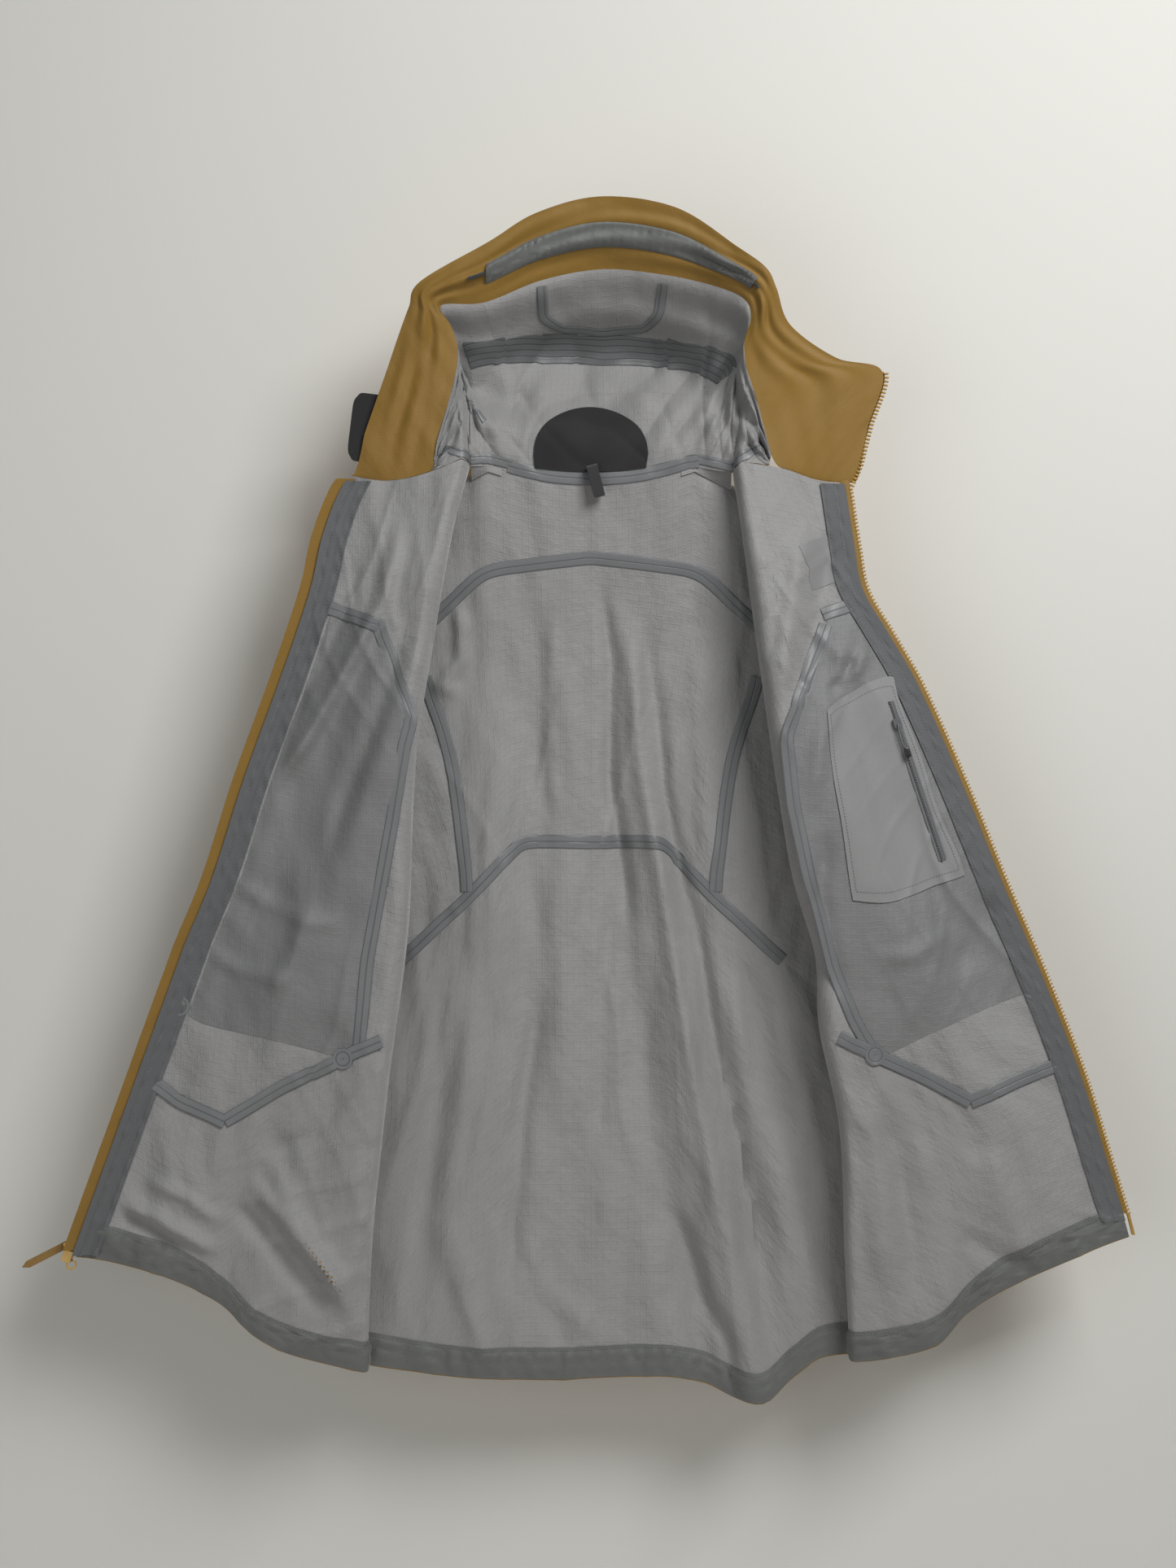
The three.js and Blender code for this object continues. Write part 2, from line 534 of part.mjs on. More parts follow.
const marked = (list, pick) => curve(list.map((value, i) => [i, pick ? value[pick - 1] : value]));
const line3 = (list) => {
  const [x, z, y] = [1, 2, 3].map((n) => marked(list, n));
  return (mark) => new THREE.Vector3(x(mark) * GRADE_X, y(mark), z(mark));
};
const rimLine = line3(RIM);
const facingLine = line3(FACING_EDGE);
const neckX = marked(NECK_X);
const insideDepth = marked(INSIDE_DEPTH);

// The top edge of the drape, from the right zip edge over the back neck to the left one.
const NECK_EDGE = [];
for (let c = 0; c <= FRONT_END + 2; c += 1) NECK_EDGE.push(facet(RIGHT, c, 0));
const backNeckColumns = halfGrid(RIGHT, PRINCESS, CENTRE, 0, 0).map((line) => line[0]);
const neckSide = 84 * GRADE_X;
NECK_EDGE.push(...backNeckColumns.filter((p) => Math.abs(p.x) < neckSide));
const leftNeck = halfGrid(LEFT, PRINCESS, CENTRE, 0, 0).map((line) => line[0]);
NECK_EDGE.push(...leftNeck.reverse().slice(1).filter((p) => Math.abs(p.x) < neckSide));
for (let c = FRONT_END + 2; c >= 0; c -= 1) NECK_EDGE.push(facet(LEFT, c, 0));

function neckPoint(x) {
  const i = clamp(NECK_EDGE.findLastIndex((p) => p.x <= x) + 1, 1, NECK_EDGE.length - 1);
  const [a, b] = [NECK_EDGE[i - 1], NECK_EDGE[i]];
  const p = a.clone().lerp(b, clamp((x - a.x) / (b.x - a.x), 0, 1));
  p.z += SHELL_THICK + SEAM_GAP;
  return p;
}
const neckLine = (mark) => neckPoint(neckX(mark) * GRADE_X);

// Facing band: k 0 on its inner edge, 1 on the rim. Lining: k 0 on the neck seam, 1 on the
// facing's inner edge. The neck end of the facing lies along the neck seam itself.
function facingPoint(mark, k) {
  const p = facingLine(mark).lerp(rimLine(mark), k);
  const end = Math.min(mark, LAST_MARK - mark);
  if (end < 1) p.lerp(neckPoint(p.x), 1 - end);
  p.y -= 3 * Math.sin(Math.PI * k) * ease(0, 3, end);
  return p;
}
function liningPoint(mark, k) {
  const p = neckLine(mark).lerp(facingPoint(mark, 0), k);
  p.y += insideDepth(mark) * (0.5 - 0.5 * Math.cos(2 * Math.PI * k ** 1.5));
  return p;
}
const marks = (first, last, step) => {
  const count = Math.round((last - first) / step);
  return steps(count).map((k) => lerp(first, last, k));
};
const bandGrid = (point, first, last, step, ks) =>
  marks(first, last, step).map((m) => ks.map((k) => point(m, k)));
const BAND = [0, 0.25, 0.5, 0.75, 1];
const DEEP = [0, 0.14, 0.28, 0.42, 0.56, 0.7, 0.85, 1];

// Seams between sheets that meet at an angle are opened a little more.
const FOLDED_SEAMS = { first: 0.5, last: 0.5, top: 0.3, bottom: 0.3 };
const LINING_SEAMS = { first: 0.4, last: 0.4, top: 0.3, bottom: 0.05 + 1.4 * SHELL_THICK };
const facingNode = (name, first, last) => addMesh(name,
  sheet(trimmed(bandGrid(facingPoint, first, last, 0.5, BAND), FOLDED_SEAMS), SHELL_THICK), cloth(GOLD));
facingNode('right_collar_facing', 0, BRIM_MARKS[0]);
facingNode('hood_brim', ...BRIM_MARKS);
facingNode('left_collar_facing', BRIM_MARKS[1], LAST_MARK);

const COLLAR_TOP = 0.45; // share of the lining's height where the collar ends and the hood starts
const liningNode = (name, first, last, ks) => addMesh(name,
  sheet(trimmed(bandGrid(liningPoint, first, last, 0.5, ks), LINING_SEAMS), SHELL_THICK), cloth(GREY));
liningNode('right_hood_side_panel', 0.6, CROWN_MARKS[0], DEEP);
liningNode('left_hood_side_panel', CROWN_MARKS[1], LAST_MARK - 0.6, DEEP);
liningNode('collar_back_panel', ...CROWN_MARKS, [0, 0.14, 0.28, COLLAR_TOP]);
liningNode('hood_crown_panel', ...CROWN_MARKS, [COLLAR_TOP, 0.55, 0.66, 0.77, 0.88, 1]);

// ---------------------------------------------------------------- seam tapes and hem facing
// A tape lies on the -Y side of the drape. Rows and columns here are the drape's own.
const TAPE_LIFT = SHELL_THICK / 2 + LAYER_GAP + TAPE_THICK / 2;
const TAPE_HALF = TAPE_WIDTH / 2;
const lifted = (p, lift) => new THREE.Vector3(p.x, p.y - lift, p.z);
const TAPE_ROWS = 0.08; // of a row: far enough to find which way the cloth runs
function tapeAlongRow(columns, row) {
  return columns.map(([side, c]) => {
    const middle = facet(side, c, row);
    const upper = facet(side, c, row - TAPE_ROWS);
    const length = middle.distanceTo(upper);
    return [TAPE_HALF, 0, -TAPE_HALF].map((reach) => lifted(
      facet(side, c, row - (TAPE_ROWS * reach) / length), TAPE_LIFT));
  });
}
function columnList(side, first, last) {
  const list = [];
  for (let c = first; c <= last; c += 1) list.push([side, c]);
  return list;
}
const acrossBack = (first) => [
  ...columnList(RIGHT, first, CENTRE), ...columnList(LEFT, first, CENTRE - 1).reverse(),
];
const tapeNode = (name, grid) => addMesh(name, sheet(grid, TAPE_THICK), cloth(TAPE_GREY));
tapeNode('yoke_seam_tape', tapeAlongRow(acrossBack(TURN_END + 1), 1));
tapeNode('waist_seam_tape', tapeAlongRow(acrossBack(PRINCESS - 1), 2));

const TAPE_COLUMNS = 0.2;
function tapeAlongColumn(side, column, firstRow, lastRow) {
  const rows = ROWS.filter((r) => r >= firstRow && r <= lastRow);
  return [-1, 0, 1].map((turn) => rows.map((r) => {
    const middle = facet(side, column, r);
    const length = middle.distanceTo(facet(side, column + TAPE_COLUMNS * (turn || 1), r));
    return lifted(facet(side, column + (TAPE_COLUMNS * turn * TAPE_HALF) / length, r), TAPE_LIFT);
  }));
}
[['right', RIGHT], ['left', LEFT]].forEach(([name, side]) => {
  tapeNode(`${name}_princess_tape`, tapeAlongColumn(side, PRINCESS, 1.16, 1.83));
});

// The hem facing runs round the whole hem on the inside, from placket to placket.
const HEM_ROWS = 0.16;
function hemFacing() {
  const grid = (side) => columnList(side, 1, CENTRE).map(([, c]) => {
    const end = facet(side, c, 3);
    const length = end.distanceTo(facet(side, c, 3 - HEM_ROWS));
    return [1, 0.5, 0.03].map((k) => facet(side, c, 3 - (HEM_ROWS * HEM_FACING_WIDTH * k) / length));
  });
  const right = grid(RIGHT);
  const left = grid(LEFT);
  return [...right, ...left.reverse().slice(1)];
}
const inward = (grid, distance) => {
  const normals = gridNormals(grid, false);
  const facing = Math.sign(normals[1][0].y) || 1;
  return grid.map((line, i) => line.map((p, j) =>
    p.clone().addScaledVector(normals[i][j], -facing * distance)));
};
const HEM_LIFT = TAPE_LIFT + 1.1; // the facing bridges the facets of the steep hem folds
addMesh('hem_facing', sheet(inward(hemFacing(), HEM_LIFT), TAPE_THICK), cloth(DARK_GREY));

// ---------------------------------------------------------------- main zip
// Lines that run down a front edge, as a place at a drop and a distance inside the edge.
const edgePoint = (side, drop, inset, y) => new THREE.Vector3(
  side.sign * (side.edge(drop) * GRADE_X - inset), y, -drop * GRADE_Z);
const RIGHT_ZIP = { top: 4, bottom: 636 };
const LEFT_ZIP = { top: 12, bottom: 606 };
const ZIP_SHARES = [0, 0.07, 0.14, 0.21, 0.28, 0.36, 0.44, 0.52, 0.6, 0.7, 0.8, 0.9, 1];
const zipDrops = ({ top, bottom }) => ZIP_SHARES.map((k) => lerp(top, bottom, k));

function edgeStrip(side, zip, profile, thick) {
  // profile lists [inset, y] across the strip
  const grid = profile.map(([inset, y]) => zipDrops(zip).map((drop) => edgePoint(side, drop, inset, y)));
  return sheet(grid, thick);
}
const panelFace = ZIP_EDGE_Y - SHELL_THICK / 2;
addMesh('right_zip_flap', edgeStrip(RIGHT, RIGHT_ZIP, [
  [FLAP_WIDTH + 6, panelFace - LAYER_GAP - 0.5], [FLAP_WIDTH, panelFace - 3.6], [0, panelFace - 4.2],
], TAPE_THICK), cloth(GOLD));

// A placket lies on the front panel; each mark is [inset, lift off the panel].
function placket(side, zip, profile) {
  const grid = profile.map(([inset, lift]) => zipDrops(zip).map((drop) => {
    const p = edgePoint(side, drop, inset, 0);
    const q = edgePoint(side, drop, Math.max(inset, side.panelInset + 0.5), 0);
    return new THREE.Vector3(p.x, onFront(side, q.x, clamp(q.z, -620 * GRADE_Z, -14), lift).y, p.z);
  }));
  return sheet(grid, TAPE_THICK);
}
const ON_PANEL = SHELL_THICK / 2 + LAYER_GAP + TAPE_THICK / 2 + 0.5;
addMesh('right_zip_placket', placket(RIGHT, { top: 6, bottom: 640 }, [
  [FLAP_WIDTH + PLACKET_WIDTH, ON_PANEL], [FLAP_WIDTH + PLACKET_WIDTH * 0.6, ON_PANEL + 0.4],
  [FLAP_WIDTH + 6, ON_PANEL + 2.6], [FLAP_WIDTH + 0.3, ON_PANEL + 4.4],
]), cloth(DARK_GREY));
addMesh('left_zip_placket', placket(LEFT, { top: 16, bottom: 606 }, [
  [6 + PLACKET_WIDTH, ON_PANEL], [6 + PLACKET_WIDTH / 2, ON_PANEL], [2 * CHAIN_RADIUS + 1.6, ON_PANEL],
]), cloth(DARK_GREY));

const RIGHT_CHAIN_Y = ZIP_EDGE_Y + SHELL_THICK + 2.2;
const LEFT_CHAIN_Y = ZIP_EDGE_Y;
const LEFT_CHAIN_SETBACK = CHAIN_RADIUS;
// The right zip tape runs out from behind the front panel, where it is sewn, to the teeth.
const tapeStart = RIGHT_CHAIN_SETBACK + CHAIN_RADIUS + CLEARANCE;
const tapeOut = zipDrops(RIGHT_ZIP).map((drop) => edgePoint(RIGHT, drop, tapeStart, RIGHT_CHAIN_Y));
const tapeBend = zipDrops(RIGHT_ZIP).map((drop) => edgePoint(RIGHT, drop, tapeStart + 2.6, RIGHT_CHAIN_Y));
const tapeSewn = zipDrops(RIGHT_ZIP).map((drop) => {
  const p = edgePoint(RIGHT, drop, tapeStart + ZIP_TAPE_WIDTH + 3, 0);
  const z = clamp(p.z, -620 * GRADE_Z, -14);
  p.y = onFront(RIGHT, edgePoint(RIGHT, -z / GRADE_Z, tapeStart + ZIP_TAPE_WIDTH + 3, 0).x, z, 0).y;
  p.y += SHELL_THICK / 2 + LAYER_GAP + TAPE_THICK / 2;
  return p;
});
addMesh('right_zip_tape', sheet([tapeSewn, tapeBend, tapeOut], TAPE_THICK), cloth(DARK_GREY));

// A level ring of points round a place.
const ringAt = (radius, sides = 8) => (p) => steps(sides).slice(0, -1).map((k) => {
  const angle = 2 * Math.PI * k;
  return new THREE.Vector3(p.x + radius * Math.cos(angle), p.y + radius * Math.sin(angle), p.z);
});
function chain(side, zip, setback, y) {
  const points = zipDrops(zip).map((drop) => edgePoint(side, drop, setback, y));
  return capped(points.map(ringAt(CHAIN_RADIUS)));
}
// A solid between a row of equal rings, with flat ends.
function capped(rings) {
  const points = rings.flat();
  const n = rings[0].length;
  const faces = [];
  for (let j = 0; j < rings.length - 1; j += 1) {
    for (let i = 0; i < n; i += 1) {
      const [a, b] = [j * n + i, j * n + ((i + 1) % n)];
      faces.push([a, b, b + n], [a, b + n, a + n]);
    }
  }
  const last = (rings.length - 1) * n;
  for (let i = 1; i < n - 1; i += 1) faces.push([0, i + 1, i], [last, last + i, last + i + 1]);
  return fromTriangles(points, faces);
}
addMesh('right_zip_teeth', chain(RIGHT, RIGHT_ZIP, RIGHT_CHAIN_SETBACK, RIGHT_CHAIN_Y), plastic(GOLD));

// The left chain also climbs the collar's zip edge, so it follows the rim line up there.
function leftChainPoints() {
  const body = zipDrops(LEFT_ZIP).reverse()
    .map((drop) => edgePoint(LEFT, drop, LEFT_CHAIN_SETBACK, LEFT_CHAIN_Y));
  const collar = [LAST_MARK - 0.3, LAST_MARK - 1, LAST_MARK - 1.5, LAST_MARK - 1.94].map((mark) => {
    const p = rimLine(mark);
    return new THREE.Vector3(p.x + CHAIN_RADIUS + SEAM_GAP, p.y, p.z);
  });
  return [...body, ...collar];
}
addMesh('left_zip_teeth', capped(leftChainPoints().map(ringAt(CHAIN_RADIUS))), plastic(GOLD));
const pinTop = edgePoint(LEFT, LEFT_ZIP.bottom, LEFT_CHAIN_SETBACK, LEFT_CHAIN_Y);
pinTop.z -= CLEARANCE;
const pinEnd = pinTop.clone().add(new THREE.Vector3(0.25, 0, -1).setLength(ZIP_PIN.length));
addMesh('zip_insertion_pin', capped([pinTop, pinEnd].map(ringAt(ZIP_PIN.radius))), plastic(GOLD));
const chainDown = edgePoint(RIGHT, 630, RIGHT_CHAIN_SETBACK, RIGHT_CHAIN_Y)
  .sub(edgePoint(RIGHT, 430, RIGHT_CHAIN_SETBACK, RIGHT_CHAIN_Y)).normalize();
const retainingTop = edgePoint(RIGHT, RIGHT_ZIP.bottom, RIGHT_CHAIN_SETBACK, RIGHT_CHAIN_Y)
  .addScaledVector(chainDown, CLEARANCE);
const retainingEnd = retainingTop.clone().addScaledVector(chainDown, RETAINING_PIN_LENGTH);
addMesh('zip_retaining_pin', capped([retainingTop, retainingEnd].map(ringAt(ZIP_PIN.radius))), plastic(GOLD));

// A slider is a C section that runs along the chain: the teeth pass through its channel and
// the zip tape leaves by its slot.
const chainAcross = new THREE.Vector3(-chainDown.z, 0, chainDown.x); // toward the garment
const chainUp = chainDown.clone().negate();
const AWAY = new THREE.Vector3(0, 1, 0);
function sliderGeometry(centre) {
  const inner = CHAIN_RADIUS + SLIDER.play;
  const outer = inner + SLIDER.wall;
  const slot = SLIDER.slot / 2;
  const shape = new THREE.Shape([
    [outer, slot], [outer, outer], [-outer, outer], [-outer, -outer], [outer, -outer], [outer, -slot],
    [inner, -slot], [inner, -inner], [-inner, -inner], [-inner, inner], [inner, inner], [inner, slot],
  ].map(([x, y]) => new THREE.Vector2(x, y)));
  const geometry = new THREE.ExtrudeGeometry(shape, { depth: SLIDER.length, bevelEnabled: false });
  geometry.translate(0, 0, -SLIDER.length / 2);
  const toward = new THREE.Vector3().crossVectors(chainUp, chainAcross);
  geometry.applyMatrix4(new THREE.Matrix4().makeBasis(chainAcross, toward, chainUp).setPosition(centre));
  return geometry;
}
const sliderFace = CHAIN_RADIUS + SLIDER.play + SLIDER.wall;
const lowerSlider = edgePoint(RIGHT, RIGHT_ZIP.bottom, RIGHT_CHAIN_SETBACK, RIGHT_CHAIN_Y)
  .addScaledVector(chainDown, SLIDER_BELOW_TEETH);
const upperSlider = lowerSlider.clone().addScaledVector(chainUp, SLIDER_PITCH);
addMesh('lower_zip_slider', sliderGeometry(lowerSlider), metal(GOLD));
addMesh('upper_zip_slider', sliderGeometry(upperSlider), metal(GOLD));

// The lower slider's pull is a flat ring that hangs on the outside face.
function ringPull(hinge) {
  const { radius, wire } = RING_PULL;
  const shape = new THREE.Shape();
  const neck = 1.2;
  const start = Math.asin(neck / radius);
  shape.moveTo(-neck, PULL_TAIL);
  shape.lineTo(-neck, -2);
  shape.absarc(0, -2 - radius * Math.cos(start), radius, Math.PI / 2 + start, Math.PI / 2 - start, false);
  shape.lineTo(neck, PULL_TAIL);
  shape.lineTo(-neck, PULL_TAIL);
  const hole = new THREE.Path();
  hole.absarc(0, -2 - radius * Math.cos(start), radius - 2 * wire, 0, 2 * Math.PI, true);
  shape.holes.push(hole);
  return plate(shape, 1.5 * wire, hinge, new THREE.Vector3(0, 0, 1), new THREE.Vector3(1, 0, 0));
}
const ringThick = 1.5 * RING_PULL.wire;
const ringHinge = lowerSlider.clone()
  .add(new THREE.Vector3(1.5, sliderFace + CLEARANCE + ringThick / 2, -2));
addMesh('lower_slider_pull', ringPull(ringHinge), metal(GOLD));

// The upper slider's pull and its strap lie on the outside and point out past the edge.
const pullAlong = new THREE.Vector3(-0.898, 0, -0.44);
const pullAcross = new THREE.Vector3(0.44, 0, -0.898);
const pullY = sliderFace + CLEARANCE + METAL_PULL.thick / 2;
const pullCentre = upperSlider.clone().addScaledVector(pullAlong, METAL_PULL.length / 2)
  .addScaledVector(AWAY, pullY);
addMesh('upper_slider_pull', plate(roundedShape(METAL_PULL.width, METAL_PULL.length, 1.5), METAL_PULL.thick,
  pullCentre, pullAlong, pullAcross), metal(GOLD));
const strapHinge = upperSlider.clone().addScaledVector(pullAlong, METAL_PULL.length - 1.5)
  .addScaledVector(AWAY, pullY + (METAL_PULL.thick + PULL_STRAP.thick) / 2 + CLEARANCE);
const strapHalf = PULL_STRAP.width / 2;
const strapShoulder = PULL_STRAP.length - PULL_STRAP.point;
const strapShape = new THREE.Shape([[-strapHalf, -PULL_STRAP.tail], [strapHalf, -PULL_STRAP.tail],
  [strapHalf, strapShoulder], [0, PULL_STRAP.length], [-strapHalf, strapShoulder]]
  .map(([x, y]) => new THREE.Vector2(x, y)));
addMesh('zip_pull_strap', plate(strapShape, PULL_STRAP.thick, strapHinge, pullAlong, pullAcross),
  cloth(GOLD));

// ---------------------------------------------------------------- pockets
// A straight bar on the front layer between two places, clear of the cloth all along.
function straightRun(side, from, to, width, lift, outside) {
  const turn = outside ? -1 : 1;
  const depthAt = (k, reach) => onFront(side, lerp(from[0], to[0], k) + reach, lerp(from[1], to[1], k),
    turn * lift).y;
  const [y0, y1] = [depthAt(0, 0), depthAt(1, 0)];
  const rise = [-width / 2, 0, width / 2].flatMap((reach) =>
    steps(24).map((k) => turn * (lerp(y0, y1, k) - depthAt(k, reach))));
  const shift = turn * Math.max(0, ...rise);
  return [new THREE.Vector3(from[0], y0 - shift, from[1]), new THREE.Vector3(to[0], y1 - shift, to[1])];
}
function bar(start, end, width, thick) {
  const along = end.clone().sub(start);
  const length = along.length();
  along.normalize();
  const across_ = new THREE.Vector3().crossVectors(along, AWAY).normalize();
  const shape = roundedShape(width, length, width * 0.2);
  return plate(shape, thick, start.clone().lerp(end, 0.5), along, across_);
}
// Coil, slider and pull of a small zip. The slider stands at a distance from the top end.
function smallZip(prefix, [top, bottom], sliderAt, pullLength, outside, color) {
  const along = bottom.clone().sub(top).normalize();
  const across_ = new THREE.Vector3().crossVectors(along, AWAY).normalize();
  const normal = new THREE.Vector3().crossVectors(across_, along).normalize();
  if (Math.sign(normal.y) !== (outside ? 1 : -1)) normal.negate();
  addMesh(`${prefix}_zip_coil`, bar(top, bottom, COIL.width, COIL.thick), cloth(color));
  const sliderLift = (COIL.thick + SMALL_SLIDER.thick) / 2 + CLEARANCE;
  const slider = top.clone().addScaledVector(along, sliderAt).addScaledVector(normal, sliderLift);
  addMesh(`${prefix}_zip_slider`, plate(roundedShape(SMALL_SLIDER.width, SMALL_SLIDER.length, 1.4),
    SMALL_SLIDER.thick, slider, along, across_), metal(color));
  const pullLift = (SMALL_SLIDER.thick + SMALL_PULL.thick) / 2 + CLEARANCE;
  const pull = slider.clone().addScaledVector(normal, pullLift)
    .addScaledVector(along, pullLength / 2 - PULL_TAIL);
  addMesh(`${prefix}_zip_pull`, plate(roundedShape(SMALL_PULL.width, pullLength, 2), SMALL_PULL.thick,
    pull, along, across_), cloth(color));
  return { slider, along, across: across_, hinge: slider.clone().addScaledVector(normal, pullLift) };
}
const graded = ([x, z]) => [x * GRADE_X, z * GRADE_Z];

const POCKET_CORNERS = [[190, -199], [240, -171], [305, -325], [213, -347]].map(graded);
function pocketPoint(u, v) {
  const [a, b, c, d] = POCKET_CORNERS;
  const bow = 4 * Math.sin(Math.PI * u);
  const x = lerp(lerp(a[0], b[0], u), lerp(d[0], c[0], u), v);
  const z = lerp(lerp(a[1], b[1], u) + bow, lerp(d[1], c[1], u) - bow, v);
  return onFront(LEFT, x, z, POCKET_PANEL_LIFT);
}
const pocketGrid = steps(8).map((u) => steps(12).map((v) => pocketPoint(u, v)));
addMesh('inner_pocket_panel', sheet(pocketGrid, TAPE_THICK), cloth(GREY));
const innerRun = straightRun(LEFT, graded([243, -186]), graded([287, -317]), COIL.width,
  POCKET_PANEL_LIFT + TAPE_THICK / 2 + LAYER_GAP + COIL.thick / 2, false);
const innerZip = smallZip('inner_pocket', innerRun, 19, SMALL_PULL.length, false, DARK_GREY);

const HAND_ZIP_SHARE = 0.76; // how far in from the zip edge toward the ridge
const HAND_PULL_LENGTH = 22;
const handZips = [['right', RIGHT], ['left', LEFT]].map(([name, side]) => {
  const ends = [HAND_ZIP_TOP_DROP, HAND_ZIP_TOP_DROP + HAND_ZIP_LENGTH].map((drop) => {
    const out = across(side, ['front', HAND_ZIP_SHARE], drop)[0];
    return graded([side.sign * out, -drop]);
  });
  const run = straightRun(side, ends[0], ends[1], COIL.width, SHELL_THICK / 2 + LAYER_GAP + COIL.thick / 2,
    true);
  return smallZip(`${name}_hand_pocket`, run, 8, HAND_PULL_LENGTH, true, GOLD);
});

// ---------------------------------------------------------------- hood cord, labels, loop
const TUNNEL_MARKS = [6, 11];
const CORD_MARKS = [5.7, 11.3];
const CORD_LINE = 0.46;
const onBrim = (mark, k, lift) => lifted(facingPoint(mark, k), lift);
const cordLift = SHELL_THICK / 2 + LAYER_GAP + CORD_RADIUS;
const tunnelEdge = SHELL_THICK / 2 + LAYER_GAP + TAPE_THICK / 2;
const tunnelProfile = [[-0.17, 0], [-0.09, 0.8], [0, 1], [0.09, 0.8], [0.17, 0]]
  .map(([k, rise]) => [k, tunnelEdge + TUNNEL_RISE * rise]);
const tunnelGrid = marks(...TUNNEL_MARKS, 0.5)
  .map((m) => tunnelProfile.map(([k, lift]) => onBrim(m, CORD_LINE + k, lift)));
addMesh('brim_cord_tunnel', sheet(tunnelGrid, TAPE_THICK), cloth(DARK_GREY));
addMesh('hood_brim_cord', tube(marks(...CORD_MARKS, 0.4).map((m) => onBrim(m, CORD_LINE, cordLift)),
  CORD_RADIUS, 4, 28), cloth(BLACK));

const lockSeat = liningPoint(8.2, 0.66);
const lockCentre = lockSeat.clone().addScaledVector(AWAY, SHELL_THICK / 2 + LAYER_GAP + CORD_LOCK.radius);
// Turned about an axis along X; the profile lists [along, radius].
function turnedAlongX(profile, sides, centre) {
  const geometry = new THREE.LatheGeometry(profile.map(([x, r]) => new THREE.Vector2(r, x)), sides);
  geometry.rotateZ(-Math.PI / 2);
  geometry.translate(centre.x, centre.y, centre.z);
  return geometry;
}
const { radius: lockRadius, length: lockLength, button, stem, bore, travel } = CORD_LOCK;
const lockEnd = lockLength / 2;
const boreEnd = lockEnd - bore;
addMesh('hood_cord_lock', turnedAlongX([[-lockEnd, 0], [-lockEnd, lockRadius], [lockEnd, lockRadius],
  [lockEnd, stem + CLEARANCE], [boreEnd, stem + CLEARANCE], [boreEnd, 0]], 16, lockCentre), plastic(BLACK));
const headStart = lockEnd + travel + CLEARANCE;
addMesh('hood_cord_lock_button', turnedAlongX([[boreEnd + travel + CLEARANCE, 0],
  [boreEnd + travel + CLEARANCE, stem], [headStart, stem], [headStart, button], [headStart + 4, button],
  [headStart + 4, 0]], 16, lockCentre), plastic(BLACK));

// The label is a plain half moon on the collar just above the neck seam.
const LABEL_MARKS = { middle: 7.85, reach: 1.3, foot: 0.05, rise: 0.3 };
addMesh('neck_label', sheet(steps(10).map((u) => {
  const turn = lerp(-0.98, 0.98, u);
  const height = LABEL_MARKS.rise * Math.sqrt(1 - turn ** 2) + 0.02;
  return steps(4).map((v) => lifted(
    liningPoint(LABEL_MARKS.middle + LABEL_MARKS.reach * turn, LABEL_MARKS.foot + height * v),
    SHELL_THICK / 2 + LAYER_GAP + LABEL.thick / 2 + LABEL.bridge));
}), LABEL.thick), cloth(BLACK));

function hangLoop() {
  const shape = roundedShape(LOOP.gap + 2 * LOOP.thick, LOOP.length, (LOOP.gap + 2 * LOOP.thick) / 2 - 0.01);
  const hole = roundedShape(LOOP.gap, LOOP.length - 2 * LOOP.thick, LOOP.gap / 2 - 0.01);
  shape.holes.push(new THREE.Path(hole.getPoints(6)));
  const up = new THREE.Vector3(-Math.sin(LOOP.lean), 0, Math.cos(LOOP.lean));
  const centre = new THREE.Vector3(0, LOOP.backY - LOOP.gap / 2 - LOOP.thick, LOOP.topZ)
    .addScaledVector(up, -LOOP.length / 2);
  return plate(shape, LOOP.width, centre, up, AWAY.clone().negate());
}
addMesh('hang_loop', hangLoop(), cloth(BLACK));

const chinCentre = rimLine(1).clone().add(new THREE.Vector3(3, CHIN_GUARD.behind, 6));
addMesh('chin_guard', plate(roundedShape(CHIN_GUARD.width, CHIN_GUARD.height, CHIN_GUARD.corner),
  CHIN_GUARD.thick, chinCentre, new THREE.Vector3(0.12, 0, 1).normalize(),
  new THREE.Vector3(1, 0, -0.12).normalize()), cloth(BLACK));

export default jacket;
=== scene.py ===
"""Looks of a hardshell jacket, hung wide open by its neck loop with the inside to the front.

The cloth is one draped sheet. A place on it is a column (how far round from a zip edge to the
centre back) and a row (how far down from the top edge, 0, through the yoke seam, 1, and the waist
seam, 2, to the hem, 3). Lengths are millimetres until a mesh is made. +Z is up, +X is the
wearer's left, and -Y is the side the inside of the jacket faces.
"""
import math

import bpy
import numpy as np
from bpy.props import FloatProperty, FloatVectorProperty, IntProperty, PointerProperty
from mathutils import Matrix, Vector


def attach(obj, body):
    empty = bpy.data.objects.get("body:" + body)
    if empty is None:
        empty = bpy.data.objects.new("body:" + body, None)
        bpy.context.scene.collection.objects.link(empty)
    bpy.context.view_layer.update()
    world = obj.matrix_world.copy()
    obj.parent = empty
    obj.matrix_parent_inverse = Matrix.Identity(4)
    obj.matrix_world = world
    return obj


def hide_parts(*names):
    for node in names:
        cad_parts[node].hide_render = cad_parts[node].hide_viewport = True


bl_info = {
    "name": "Hardshell Jacket",
    "version": (1, 0, 0),
    "blender": (4, 5, 0),
    "location": "View3D > Sidebar > Jacket",
    "description": "Builds a hung, open hardshell jacket around its packed solids",
    "category": "Add Mesh",
}

